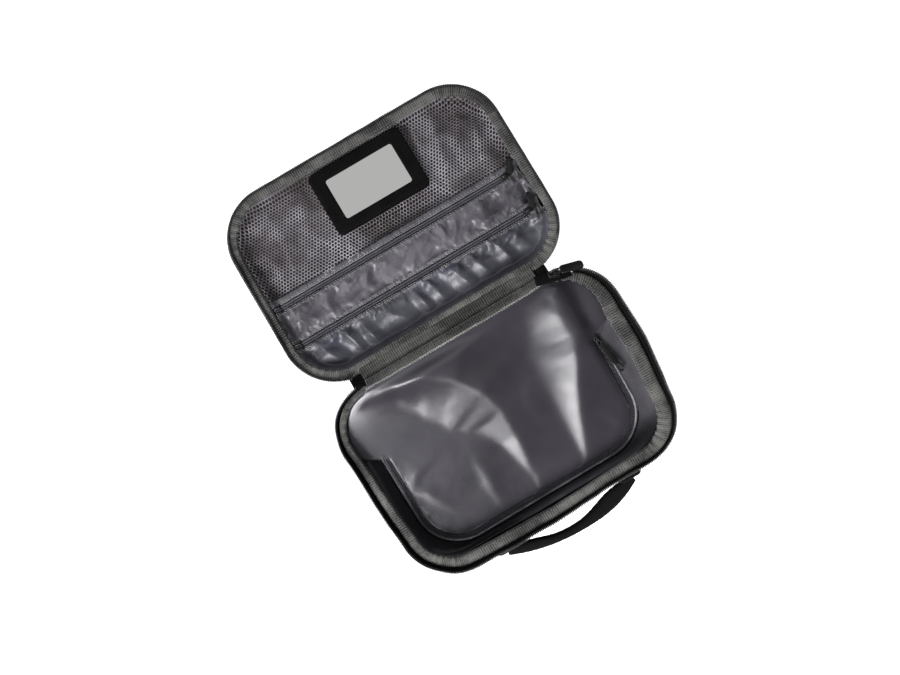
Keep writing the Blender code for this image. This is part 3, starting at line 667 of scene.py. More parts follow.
def make_shell(tray):
    def dent(x, y, z, nx, ny):
        slow = wobble(x + z, y - z, 38 * MM, 1.0 + tray.side)
        fine = wobble(x - 2 * z, y + z, 11 * MM, 5.0 + tray.side)
        return smooth(-z / (12 * MM)) * (0.9 * MM * slow + 0.25 * MM * fine)

    step, height = 3.5 * MM, tray.height
    rows = tray_rows(tray, step, 0, 0, -1.5 * MM, 1.2 * MM, dent)
    samples = rim(tray.side, step)
    uvs = [(p[0] + n[2] * (p[2] + height), p[1] + n[3] * (p[2] + height))
           for row in rows for p, n in zip(row, samples)]
    shell = edited(grid(tray.name + "_shell_cloth", rows, SHELL, tray.frame, True, True, uvs),
                   point_out)
    placed(thick(shell, 1.2 * MM), tray.name, "outer_fabric", tray.name + "_shell")
    # stitches where the wall is sewn to the zip tape, and round the floor
    for name, z, out in (("seam_top", -5.2 * MM, 0.15 * MM),
                         ("seam_floor", -height + 8.5 * MM, 0.2 * MM)):
        line = []
        for x, y, nx, ny, mid, _ in rim(tray.side, 3 * MM):
            x, y = x + nx * out, y + ny * out
            over = bulge(z, tray, mid) + dent(x, y, z, nx, ny)
            line.append((x + nx * over, y + ny * over, z))
        sew(f"{tray.name}_{name}", line, SHELL_SEAM, THREAD, tray.frame, tray.name,
            "outer_fabric", None, True)


def make_core(tray, kind, look, inset, thickness):
    """The foam or the board between shell and lining."""
    name = f"{tray.name}_{kind}"
    rows = tray_rows(tray, 6 * MM, inset, inset, -2.2 * MM, thickness)
    placed(thick(grid(name + "_sheet", rows, look, tray.frame, True, True),
                 thickness - 0.15 * MM), tray.name, kind, name)


def make_lining(tray):
    def dent(x, y, z, nx, ny):
        along = x * ny - y * nx
        slow = wobble(along, z * 0.35, 16 * MM, 9.0 + tray.side)
        fine = wobble(along * 1.3, z, 6 * MM, 2.0 + tray.side)
        return (-tray.folds * abs(slow) * smooth((-z - 3 * MM) / (10 * MM))
                - 0.25 * MM * (fine + 1))

    step, inset = 2.6 * MM, 3.8 * MM
    samples = rim(tray.side, step)
    rows = [[(x - nx * inwards * MM, y - ny * inwards * MM, z * MM)
             for x, y, nx, ny, _, _ in samples]
            for inwards, z in ((1.3, -0.75), (2.9, -0.85), (3.9, -1.2))]
    rows += tray_rows(tray, step, inset, inset + 1.2 * MM, -1.8 * MM, 0.8 * MM, dent)
    lining = thick(grid(tray.name + "_lining_cloth", rows, tray.lining, tray.frame, True, True),
                   0.6 * MM)
    placed(lining, tray.name, "lining", tray.name + "_lining")


def make_binding(tray):
    """Grosgrain folded over the rim: ribs across it, puckered round the corners."""
    side, pitch = tray.side, 2.0 * MM
    step = pitch / 4
    samples = rim(side, step)
    widths = [at_angle(BINDING_WIDTH[tray.name], x, y, side) for x, y, *_ in samples]
    overs = [at_angle(BINDING_OVER[tray.name], x, y, side) for x, y, *_ in samples]
    profile = ((-0.35, -2.6), (-0.45, -1.2), (-0.1, -0.1), (0.9, 0.5), (2.2, 0.75), (3.8, 0.8),
               (5.4, 0.7), (6.8, 0.45), (7.8, -0.1), (8.35, -1.0), (8.45, -2.2))
    rows = []
    for place, (inset, z) in enumerate(profile):
        across = place / (len(profile) - 1)
        row = []
        for i, ((x, y, nx, ny, _, corner), wide, over) in enumerate(zip(samples, widths, overs)):
            s = i * step
            rib = ((0.13 + 0.07 * wobble(x, y, 11 * MM, 5.0)) * math.cos(TAU * s / pitch)
                   * math.sin(math.pi * across))
            gather = corner * across * math.sin(TAU * s / (7.3 * MM)
                                                + 2.2 * wobble(x, y, 9 * MM, side))
            wavy = wobble(x, y, 14 * MM, 4.0 + side)
            deep = ((inset / 8.4) * (wide + over) - over
                    + (0.45 * wavy + 0.5 * gather * across) * across * MM)
            lift = z + rib + (0.25 + 0.35 * corner) * wavy * across + 0.55 * gather
            row.append((x - nx * deep, y - ny * deep, lift * MM))
        rows.append(row)
    uvs = [(i * step, inset * MM) for inset, z in profile for i in range(len(samples))]
    band = thick(grid(tray.name + "_binding_tape", rows, BINDING, tray.frame, True, uvs=uvs),
                 0.6 * MM)
    placed(band, tray.name, "binding", tray.name + "_binding")
    line = [(x - nx * (wide - 1.2 * MM), y - ny * (wide - 1.2 * MM), 0.95 * MM)
            for (x, y, nx, ny, _, _), wide in zip(samples[::6], widths[::6])]
    sew(tray.name + "_binding_stitch", line, BINDING_SEAM, GREY_THREAD, tray.frame, tray.name,
        "binding", closed=True)


def make_outer_zip(tray, start):
    points, normals = path_round(tray.side, start)
    leans = [at_angle(ZIP_LEAN[tray.name], p.x, p.y, tray.side) for p in points]
    low = 3.0 if tray.name == "lid" else 0.0
    profile = ((0.10, -5.4), (0.3, -4.0), (0.4, -2.0), (0.56, 0.2), (0.75, 2.4), (0.9, 4.2),
               (0.97, 5.8), (1.0, 6.6))
    rows = []
    for place, (out, z) in enumerate(profile):
        share = place / (len(profile) - 1)
        row = []
        for p, n, lean in zip(points, normals, leans):
            wave = wobble(p.x, p.y, 17 * MM, 7.0 + tray.side) * share
            q = p + n * (out * lean + 0.2 * MM + 0.5 * MM * wave)
            tall = z * (1 if z < 0 else 1 - 0.3 * max(0, lean / MM - 3) / 3)
            drop = low * share * min(1, max(0.0, 3 - lean / MM))
            row.append((q.x, q.y, (tall - drop + 0.3 * wave) * MM))
        rows.append(row)
    tape = thick(grid(tray.name + "_zip_tape_cloth", rows, TAPE, tray.frame), 0.55 * MM)
    placed(tape, tray.name, "zip_tape", tray.name + "_zip_tape")
    line = [Vector(p) + n * 0.25 * MM - UP * 0.4 * MM for p, n in zip(rows[-1], normals)]
    teeth = coil(tray.name + "_zip_coil_loops", line, normals, OUTER_TEETH, COIL, tray.frame)
    placed(teeth, tray.name, "zip_coil", tray.name + "_zip_coil")
    line = [Vector(p) + n * 0.3 * MM for p, n in zip(rows[-3], normals)]
    sew(tray.name + "_zip_stitch", line, OUTER_ZIP_SEAM, THREAD, tray.frame, tray.name,
        "zip_tape", None)


# ------------------------------------------------------------------ sliders and pull tabs

def block(name, outline, low, high, taper, look, matrix, rounding):
    """A bevelled solid on an outline, with its top narrowed to the taper."""
    count = len(outline)
    cx = sum(x for x, y in outline) / count
    verts = [(x, y, low) for x, y in outline]
    verts += [(cx + (x - cx) * taper, y * taper, high) for x, y in outline]
    faces = [tuple(range(count))[::-1], tuple(range(count, 2 * count))]
    faces += bands_between(0, 2, count, True)
    made = build(name, [matrix @ Vector(v) for v in verts], faces, look)
    bevel = made.modifiers.new("rounding", "BEVEL")
    bevel.width, bevel.segments, bevel.limit_method = rounding, 3, "ANGLE"
    return apply_all(made)


def join(name, pieces):
    verts, faces = [], []
    look = pieces[0].data.materials[0]
    for piece in pieces:
        faces += [tuple(len(verts) + i for i in f.vertices) for f in piece.data.polygons]
        verts += [v.co.copy() for v in piece.data.vertices]
        bpy.data.objects.remove(piece, do_unlink=True)
    return build(name, verts, faces, look)


def flipped(outline):
    return [(x, -y) for x, y in outline[::-1]]


def make_slider(name, seat, scale, body):
    u = scale * MM
    shield, flank = ([(x * u, y * u) for x, y in outline] for outline in (
        ((4.4, 1.2), (3.9, 2.7), (2.4, 3.15), (0.4, 2.9), (-1.6, 2.3), (-4.2, 2.2), (-4.5, 1.6)),
        ((3.6, 2.2), (3.4, 3.1), (0.2, 2.95), (-4.2, 2.4), (-4.2, 2.1), (0.2, 2.2))))
    parts = [block(name + "_part", outline, low * u, high * u, taper, METAL, seat, rounding * u)
             for outline, low, high, taper, rounding in (
                 (shield + flipped(shield), 0.95, 2.15, 0.88, 0.3),
                 (flank, -0.6, 1.2, 1.0, 0.2), (flipped(flank), -0.6, 1.2, 1.0, 0.2))]
    arch = ((-3.1, 1.9), (-2.9, 3.6), (-2.0, 4.7), (-0.3, 5.2), (1.5, 4.9), (2.3, 3.9), (2.4, 1.9))
    parts.append(tube(name + "_arch", resample([(x * u, 0, z * u) for x, z in arch], 0.5 * u),
                      0.52 * u, METAL, 8, (0, 1, 0), 1.5, seat))
    placed(join(name + "_body", parts), body, "slider_metal", name)


def make_puller(name, seat, scale, length, width, bend, eyelet=False):
    """A wire loop through the slider's arch, with a moulded tab or eyelet over its end."""
    u, half = scale * MM, width / 2
    lift, neck, start, thin = 3.5 * u, 4.4 * u, 4.3 * u, 0.62 * u
    cos_b, sin_b = math.cos(bend), math.sin(bend)

    def bent(x, y):
        return (neck + (x - neck) * cos_b - y * sin_b, (x - neck) * sin_b + y * cos_b)

    def tab(outline, taper, rounding):
        return block(name + "_part", [bent(x, y * half) for x, y in outline], lift - thin,
                     lift + thin, taper, PULL, seat, rounding * u)

    if eyelet:
        near, far = length - 10.5 * MM, length - 2.6 * MM
        parts = [tab(((start, -0.85), (near, -0.85), (near, 0.85), (start, 0.85)), 0.96, 0.3)]
        oval = []
        for a in (TAU * k / 28 for k in range(28)):
            x = math.copysign(abs(math.cos(a)) ** 0.6, math.cos(a))
            y = math.copysign(abs(math.sin(a)) ** 0.8, math.sin(a))
            oval.append((*bent((near + far) / 2 + (far - near) / 2 * x, half * 0.62 * y), lift))
        parts.append(tube(name + "_eye", oval, 0.85 * MM, PULL, 8, matrix=seat, closed=True))
    else:
        edge = [(start, -0.8), (start + 1.4 * u, -1), (length - 3 * MM, -1),
                (length - 0.9 * MM, -0.8), (length, -0.35)]
        parts = [tab(edge + flipped(edge), 0.94, 0.35)]
        for k in range(4):
            x = length - (3.0 + 1.7 * k) * MM
            line = [(*bent(x, y * half), lift + thin) for y in (-0.6, 0.6)]
            parts.append(tube(name + "_grip", resample(line, 0.8 * MM), 0.3 * MM, PULL, 6,
                              matrix=seat))
    wire = [(-0.1, -1.55), (3.4, -1.55), (5.2, -1.15), (5.9, -0.6)]
    ring = [(*((x * u, y * u) if x < 4.4 else bent(x * u, y * u)), lift)
            for x, y in wire + flipped(wire)]
    parts.append(tube(name + "_wire", resample(ring, 0.6 * u, True), 0.55 * u, PULL, 7,
                      matrix=seat, closed=True))
    placed(join(name + "_tab_and_wire", parts), name, "puller", name)


def seat_of(joint, x_axis, scale):
    """The slider's frame, from the joint that lifts its puller."""
    y = Vector(joints[joint]["axis"]).normalized()
    x = Vector(x_axis).normalized()
    z = x.cross(y).normalized()
    matrix = Matrix((x, y, z)).transposed().to_4x4()
    matrix.translation = Vector(joints[joint]["pos_m"]) - z * 3.5 * scale * MM
    return matrix


# ------------------------------------------------------------------ surfaces

def ridge(x, y, line, widths, slope, fade):
    """A soft fold: it rises from its valley on the left to a crest along the line, then fades."""
    pts = np.asarray(line, float) * MM
    best, side, value = 1e9, 0.0, 0.0
    p = np.array((x, y))
    for a, b, wide, next_wide in zip(pts, pts[1:], widths, widths[1:]):
        d = b - a
        t = float(np.clip(np.dot(p - a, d) / np.dot(d, d), 0, 1))
        q = a + d * t
        gap = float(np.linalg.norm(p - q))
        if gap < best:
            best = gap
            side = d[0] * (p[1] - q[1]) - d[1] * (p[0] - q[0])
            value = (wide + (next_wide - wide) * t) * MM
    if side < 0:
        return slope * value * max(0.0, 1 - best / max(value, 1e-6)) ** 1.32
    return slope * value * math.exp(-(best / (fade * MM)) ** 1.4)


def divider_level(y):
    return BACK_Z + (FRONT_Z - BACK_Z) * -y / DEPTH


# crest (mm), width of the face on its left, slope of that face, fade on its right
FOLDS = (
    (((-84, -12), (-64, -9), (-42, -17), (-18, -32), (-4, -51), (2, -72), (2, -98), (-1, -133)),
     (4, 18, 32, 42, 42, 31, 16, 3), 0.29, 34),
    (((84, -30), (84, -52), (78, -68), (69, -85), (59, -108), (44, -149)),
     (34, 42, 40, 32, 20, 3), 0.275, 30),
    (((-92, -92), (-84, -84), (-74, -83)), (2, 4, 2), 0.3, 6),
    (((-94, -96), (-86, -104), (-80, -118)), (2, 4, 2), 0.25, 7),
    (((30, -60), (26, -80), (27, -100)), (2, 10, 2), 0.10, 9),
    (((-38, -96), (-36, -120), (-38, -148)), (2, 9, 2), 0.13, 10),
    (((74, -120), (82, -134), (90, -142)), (2, 5, 1), 0.25, 6),
)


def zip_inset(x, y):
    """Distance inside the U-shaped zip line; negative outside it."""
    qx, qy = abs(x) - (FLAP_X - FLAP_R), FLAP_FRONT + FLAP_R - y
    if qx > 0 and qy > 0:
        return FLAP_R - math.hypot(qx, qy)
    return FLAP_R - max(qx, qy)


def divider_z(x, y):
    """Height of the divider's cloth in the base tray's frame."""
    ends = smooth((104 * MM - x) / (18 * MM)) if x > 0 else smooth((122 * MM + x) / (46 * MM))
    seam = math.exp(-(-y / (16 * MM)) ** 1.5) * ends
    z = divider_level(y) + (1.7 * MM - divider_level(y)) * seam
    hold = smooth((zip_inset(x, y) - 0.5 * MM) / (7 * MM)) * smooth((-y - 4 * MM) / (10 * MM))
    for row in FOLDS:
        z += hold * ridge(x, y, *row)
    uneven = 0.22 * MM * wobble(x, y, 28 * MM, 11.0) + 0.08 * MM * wobble(x, y, 9 * MM, 12.0)
    return z + hold * uneven


def pucker(x, y):
    """Small gathers where the divider is sewn to its zip."""
    near = math.exp(-abs(zip_inset(x, y)) / (4.5 * MM)) * smooth((-y - 56 * MM) / (12 * MM))
    return near * (0.55 * MM * wobble(x, y, 3.2 * MM, 14.0) + 0.5 * MM * wobble(x, y, 9 * MM, 15.0))


def softened(rows, times):
    """Rows of points with their heights rounded off, apart from the outer ones."""
    z = np.array([[p[2] for p in row] for row in rows])
    for _ in range(times):
        around = z[:-2, 1:-1] + z[2:, 1:-1] + z[1:-1, :-2] + z[1:-1, 2:]
        z[1:-1, 1:-1] = 0.5 * z[1:-1, 1:-1] + 0.125 * around
    return [[(x, y, height) for (x, y, _), height in zip(row, line)] for row, line in zip(rows, z)]


def span(half, columns, y, height):
    """A row of points across the case at y, from -half to half."""
    places = [half * (2 * k / columns - 1) for k in range(columns + 1)]
    return [(x, y, height(x, y)) for x in places]


def wall_half(y):
    """Half the width between the base's side linings at y."""
    radius = CORNER - INNER
    beyond = max(-DEPTH + CORNER - y, y + CORNER, 0)
    out = 0.8 * bulge(divider_level(y), TRAYS[0], max(1 - beyond / CORNER, 0))
    return WIDTH / 2 - INNER - radius + math.sqrt(max(radius ** 2 - beyond ** 2, 0)) + out


def sheet_half(y):
    """Half-width of the divider's main sheet: the wall near the hinge, then the zip line."""
    if y > -5.5 * MM:
        return (88 - 4 * (y / MM + 5.5) / 4.1) * MM
    drop = max(FLAP_FRONT + FLAP_R - y, 0)
    edge = FLAP_X - FLAP_R + math.sqrt(max((FLAP_R - ZIP_GAP) ** 2 - drop ** 2, 0))
    return edge + (wall_half(y) - edge) * smooth((y + 64 * MM) / (17 * MM))


# ------------------------------------------------------------------ divider

def u_line(leg, angles, run):
    """The U-shaped zip line from its right end to its left: x, y and the outward normal."""
    right = [(FLAP_X, y, 1.0, 0.0) for y in leg]
    right += [(FLAP_X - FLAP_R + FLAP_R * math.cos(a), FLAP_FRONT + FLAP_R - FLAP_R * math.sin(a),
               math.cos(a), -math.sin(a)) for a in angles]
    left = [(-x, y, -nx, ny) for x, y, nx, ny in right[::-1]]
    return right + [(x, FLAP_FRONT, 0.0, -1.0) for x in run] + left


def far_edge(x, y, nx, ny):
    """Where the divider's border meets the lining, opposite a point of the zip line."""
    if abs(ny) < 0.02:
        return math.copysign(wall_half(y), x), y
    if abs(x) <= FLAP_X - FLAP_R:
        return x, -DEPTH + INNER + 0.6 * MM
    a = math.atan2(-ny, abs(nx))
    r = CORNER - INNER - 0.4 * MM
    return (math.copysign(HALF_X + (r + 1.5 * MM) * math.cos(a), x),
            -DEPTH + CORNER - r * math.sin(a))


def make_divider():
    back, front, count = -1.4 * MM, FLAP_FRONT + ZIP_GAP, 112
    lines = [back + (front - back) * (i / count) for i in range(count)] + [front + 0.01 * MM]
    rows = [span(sheet_half(y), 122, y, divider_z) for y in lines]
    uvs = [(x, y) for row in rows for x, y, _ in row]
    rows = [[(x, y, z + pucker(x, y)) for x, y, z in row] for row in softened(rows, 9)]
    sheet = thick(grid("divider_cloth", rows, DIVIDER, BASE, uvs=uvs), 0.7 * MM)
    placed(sheet, ROUND_FLAP, "divider_fabric", "divider_flap")

    # the border outside the zip, down to the lining
    a, steps = FLAP_X - FLAP_R, 9
    line = u_line(np.linspace(-50 * MM, FLAP_FRONT + FLAP_R, 34),
                  [math.pi / 2 * k / 24 for k in range(1, 24)], np.linspace(a, -a, 67))
    rows = []
    for t in (s / steps for s in range(steps + 1)):
        row = []
        for x, y, nx, ny in line:
            near_x, near_y = x + nx * ZIP_GAP, y + ny * ZIP_GAP
            far_x, far_y = far_edge(x, y, nx, ny)
            px, py = near_x + (far_x - near_x) * t, near_y + (far_y - near_y) * t
            inner = sheet_half(py)
            if py > -66 * MM and abs(px) < inner:
                px = math.copysign(inner + (abs(far_x) - inner) * t, px)
            trench = 1.2 + 13 * smooth(-px / (70 * MM)) + 1.6 * smooth(-ny)
            z = (divider_level(py) - trench * MM * math.sin(math.pi * t * 0.75) - 0.4 * MM
                 + 0.9 * MM * wobble(px, py, 12 * MM, 21.0) * math.sin(math.pi * t))
            row.append((px, py, z))
        rows.append(row)
    border = thick(grid("divider_border_cloth", rows, LINING, BASE), 0.7 * MM)
    placed(border, "base", "divider_fabric", "divider_panel")


def make_divider_zip():
    step, a = 1.2 * MM, FLAP_X - FLAP_R
    turns, runs = round(math.pi / 2 * FLAP_R / step), round(2 * a / step)
    for prefix, side, start, body, rest in (
            ("divider", 1, -56 * MM, "base", "divider_border_cloth"),
            ("flap", -1, -60 * MM, ROUND_FLAP, "divider_cloth")):
        line = u_line(np.arange(start, FLAP_FRONT + FLAP_R, -step),
                      [math.pi / 2 * k / turns for k in range(turns + 1)],
                      np.linspace(a, -a, runs + 1)[1:-1])
        normals = [(nx * side, ny * side, 0) for x, y, nx, ny in line]
        levels = [divider_level(y) + 0.35 * MM * wobble(x, y, 20 * MM, 30.0)
                  for x, y, *_ in line]

        def beside(out, lift):
            return [(x + nx * out * MM, y + ny * out * MM, z + lift * MM)
                    for (x, y, *_), (nx, ny, _), z in zip(line, normals, levels)]

        rows = [[(x, y, z + (0.22 * MM * wobble(x, y, 2.6 * MM, 31.0) if place > 1 else 0))
                 for x, y, z in beside(out, -0.75 - 0.10 * place)]
                for place, out in enumerate((0.35, 1.3, 2.6, 4.0, 5.6))]
        tape = thick(grid(prefix + "_zip_tape_cloth", rows, ZIP_BLACK, BASE), 0.4 * MM)
        placed(tape, body, "zip_tape", prefix + "_zip_tape")
        teeth = coil(prefix + "_zip_coil_loops", beside(0.85, 0.15), normals, DIVIDER_TEETH,
                     DARK_COIL, BASE, 0 if side > 0 else math.pi, 0.7)
        placed(teeth, body, "zip_coil", prefix + "_zip_coil")
        sew(prefix + "_zip_stitch", beside(1.75, -0.25), DIVIDER_ZIP_SEAM, GREY_THREAD, BASE,
            body, "zip_tape")
        cord = resample(beside(3.1, 0.1), 0.55 * MM)
        radii = (0.8 + 0.2 * np.cos(np.arange(len(cord)) * TAU / 4)) * MM
        placed(tube(prefix + "_zip_welt", cord, radii, WELT, 8, flat=0.8, matrix=BASE), body,
               "divider_fabric")


# ------------------------------------------------------------------ hinge

def make_seam():
    """The pale line of stitching where the divider's back edge is sewn to the hinge."""
    xs, y = np.arange(-84 * MM, 84.1 * MM, 2.4 * MM), -1.9 * MM
    line = [(x, y + 0.3 * MM * wobble(x, 0, 6 * MM, 91.0), divider_z(x, y) + 0.45 * MM)
            for x in xs]
    sew("divider_back_stitch", line, BACK_SEAM, PALE_THREAD, BASE, "base", "divider_fabric")
    cord = [(x, -1.0 * MM + 0.35 * MM * wobble(x, 0, 7 * MM, 92.0), 1.75 * MM) for x in xs]
    edge = tube("divider_back_edge", resample(cord, 1.2 * MM), 0.55 * MM, PALE_EDGE, 8, matrix=BASE)
    placed(edge, "base", "binding")


def make_hinge():
    across = Vector((0, -ALONG.z, ALONG.y))
    lid_y, lid_z = (LID.to_3x3() @ axis for axis in (Vector((0, 1, 0)), UP))
    lid_edge = B + lid_y * HINGE_OUT

    # places by the base's rim, on the strip and by the lid's rim, in mm
    by_base = lambda y, z: A + Vector((0, y, z)) * MM
    on_strip = lambda start, along, lift: start + (ALONG * along + across * lift) * MM
    by_lid = lambda y, z: lid_edge + (lid_y * y + lid_z * z) * MM

    def strip(name, points, half, look, slot, nodes, turn, thickness, seed):
        profile = [Vector(p) for p in resample(points, 1.2 * MM)]
        columns = round(2 * half / MM)
        rows, uvs, down = [], [], 0.0
        for i, p in enumerate(profile):
            down += (p - profile[max(i - 1, 0)]).length
            share = 0.3 + math.sin(math.pi * i / (len(profile) - 1))
            row = []
            for x in (half * (2 * k / columns - 1) for k in range(columns + 1)):
                wave = (0.45 * MM * wobble(x, down, 15 * MM, seed)
                        + 0.12 * MM * math.sin(x * TAU / (1.5 * MM)))
                q = p + across * wave * share
                row.append((x, q.y, q.z))
                uvs.append((x, down))
            rows.append(row)
        piece = thick(grid(name, rows, look, HERE, uvs=uvs), thickness)
        placed(piece, turn, slot, *nodes)

    # the outer web is drawn on the strip's underside, and the grey facing on its upper side
    mid = A + ALONG * (STRIP / 2)
    low, high = on_strip(mid, 0, -3.9), on_strip(mid, 0, -2.6)
    web = 93 * MM, SHELL, "outer_fabric"
    facing = 82 * MM, HINGE_FACE, "lining"
    strip("hinge_web_base_side", (by_base(-0.7, -7), by_base(-0.5, -2), on_strip(A, 1, -0.9), low),
          *web, ["hinge_web"], ROUND_A, 0.8 * MM, 41.0)
    strip("hinge_web_lid_side", (low, on_strip(B, -1, -0.9), by_lid(-0.6, -2.5), by_lid(-0.5, -7)),
          *web, [], ROUND_B, 0.8 * MM, 41.0)
    strip("hinge_facing_base_side", (by_base(-2.6, 0.9), by_base(-0.6, 1.3), on_strip(A, 1.2, 0.9),
                                     on_strip(A, 4.5, 0.3), high),
          *facing, ["hinge_lining"], ROUND_A, 0.6 * MM, 43.0)
    strip("hinge_facing_lid_side", (high, on_strip(B, -4.5, 0.3), on_strip(B, -1.2, 0.9),
                                    by_lid(-0.2, 1.3), by_lid(1.6, 0.9)),
          *facing, [], ROUND_B, 0.6 * MM, 43.0)


# ------------------------------------------------------------------ handle

def grip_sides(x):
    """The grip's outer and inner side, as distances from its axis; x counts from its middle."""
    lean = (x - 9 * MM) / ((54 if x > 9 * MM else 72) * MM)
    gap = (x + 4 * MM) / (32.5 * MM)
    return ((15.4 - 14.5 * min(1.0, abs(lean)) ** 2.3) * MM,
            (7.2 - 11.6 * (1 - math.exp(-0.85 * abs(gap) ** 2.5))) * MM)


def make_handle():
    axis = Vector(joints["handle_swing"]["pos_m"])
    half_span, count, sides = 58 * MM, 72, 28
    shares = [2 * i / count - 1 for i in range(count + 1)]
    spine, halves = [], []
    for s in shares:
        outer, inner = grip_sides(s * (half_span + 3 * MM))
        spine.append(Vector((axis.x + s * (half_span + 3 * MM), axis.y - (outer + inner) / 2,
                             axis.z)))
        halves.append((outer - inner) / 2)
    outs = [UP.cross(Vector(t)).normalized() for t in tangents(np.array([tuple(p) for p in spine]))]
    rows = []
    for s, p, wide, out in zip(shares, spine, halves, outs):
        tall = (5.6 * (1 - 0.5 * abs(s) ** 4) + 1.6 * abs(s) ** 6) * MM
        row = []
        for a in (TAU * k / sides for k in range(sides)):
            ca, sa = math.cos(a), math.sin(a)
            bumpy = 1 + 0.025 * wobble(s * 3, a, 0.4, 50.0) + 0.015 * math.sin(s * 60 + 3 * sa)
            x = math.copysign(abs(ca) ** 0.8, ca) * wide * bumpy
            z = math.copysign(abs(sa) ** 0.8, sa) * tall * bumpy
            groove = 0.5 * MM * math.exp(-((a - math.pi) / 0.16) ** 2)
            row.append(tuple(p + out * (x + groove) + UP * z))
        rows.append(row)
    grip = edited(grid("handle_grip_cloth", rows, HANDLE, HERE, True, True), close_ends, point_out)
    placed(grip, "handle", "handle_fabric", "handle_grip")
    for name, height in (("upper", 1), ("lower", -1)):
        line = []
        for s, p, wide, out in list(zip(shares, spine, halves, outs))[6:count - 5]:
            lift = height * 2.4 * (1 - 0.5 * abs(s) ** 4) * MM
            line.append(tuple(p - out * (wide - 0.6 * MM) + UP * lift))
        pts = resample(line, HANDLE_SEAM[1] * MM)
        places = ((p[0] - axis.x) / half_span * count / 2 + count / 2 for p in pts)
        under = np.array([tuple(spine[int(round(place))]) for place in places])
        sew("handle_stitch_" + name, line, HANDLE_SEAM, THREAD, HERE, "handle", "handle_fabric",
            unit(pts - under))
    for node in ("handle_anchor_left", "handle_anchor_right"):
        low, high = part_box(node)
        centre, size = (low + high) / 2, high - low
        columns, lines = 20, 16
        rows = []
        for v in (2 * r / lines - 1 for r in range(lines + 1)):
            row = []
            for u in (2 * c / columns - 1 for c in range(columns + 1)):
                rounding = 1 - 0.06 * (u * v) ** 4
                edge = 1 - max(abs(u), abs(v)) ** 6
                out = (0.35 - 0.55 * (edge - 1) + 0.08 * wobble(u * 3, v * 3, 1, 51.0)
                       - 2.2 * edge * math.exp(-((v - 0.9) / 0.5) ** 2))
                row.append((centre.x + u * size.x / 2 * rounding, low.y + out * MM,
                            centre.z + v * size.z / 2 * rounding))
            rows.append(row)
        patch = thick(grid(node + "_patch", rows, HANDLE, HERE), 1.0 * MM)
        placed(patch, "base", "handle_fabric", node)
        ix, iz = size.x / 2 - 1.8 * MM, size.z / 2 - 1.8 * MM
        line = [(centre.x + a * ix, low.y + 0.1 * MM, centre.z + b * iz)
                for a, b in ((-1, -1), (1, -1), (1, 1), (-1, 1),
                             (-1, -1), (1, 1), (1, -1), (-1, 1))]
        sew(node + "_box_stitch", line, BOX_SEAM, GREY_THREAD, HERE, "base", "handle_fabric",
            (0, -1, 0))


# ------------------------------------------------------------------ lid pockets

def lid_inset(x, y):
    return inset_of(x, y, 1)[0]


def lid_level(x, y):
    return POCKET_Z + (-2.6 * MM - POCKET_Z) * smooth((11.5 * MM - lid_inset(x, y)) / (5 * MM))


NET_FOLDS = (
    (((78, 163), (74, 148), (70, 132), (66, 112), (60, 96)), (3, 7, 9, 8, 3), 0.34, 7),
    (((97, 155), (95, 140), (86, 124), (80, 104)), (3, 8, 9, 3), 0.34, 8),
    (((108, 140), (102, 124), (96, 104)), (2, 7, 3), 0.28, 7),
    (((60, 166), (58, 150), (55, 134)), (2, 6, 2), 0.3, 6),
    (((50, 106), (58, 94), (70, 86)), (2, 6, 2), 0.25, 6),
    (((-40, 104), (-52, 94), (-66, 87)), (2, 5, 2), 0.28, 7),
    (((-34, 104), (-36, 94), (-44, 85)), (2, 4, 2), 0.28, 5),
    (((-48, 158), (-56, 142), (-58, 124), (-52, 108)), (2, 7, 8, 3), 0.2, 9),
    (((-84, 150), (-80, 130), (-86, 108)), (2, 7, 3), 0.2, 9),
    (((-104, 128), (-98, 112), (-100, 96)), (2, 6, 2), 0.25, 7),
)


def net_z(x, y):
    z, d = lid_level(x, y), lid_inset(x, y)
    near_frame = math.hypot(max(abs(x - MIRROR_X) - FRAME_W / 2, 0),
                            max(abs(y - MIRROR_Y) - FRAME_H / 2, 0))
    hold = (smooth((near_frame - 0.5 * MM) / (7 * MM))
            * smooth((y - UPPER_ZIP - 4 * MM) / (9 * MM)))
    inside = hold * smooth((d - 7 * MM) / (6 * MM))
    for row in NET_FOLDS:
        z += inside * 3.0 * ridge(x, y, *row)
    z += inside * MM * (5.5 * wobble(x, y, 26 * MM, 60.0) + 1.6 * wobble(x, y, 10 * MM, 61.0) - 3.2)
    ring = math.exp(-((d - 16 * MM) / (6 * MM)) ** 2) * hold
    z -= 3.0 * MM * ring * (0.6 + 0.4 * wobble(x, y, 20 * MM, 63.0))
    flat = smooth(1 - near_frame / (6 * MM))
    z = min(z, -1.8 * MM)
    return z * (1 - flat) + min(z, -6.75 * MM) * flat


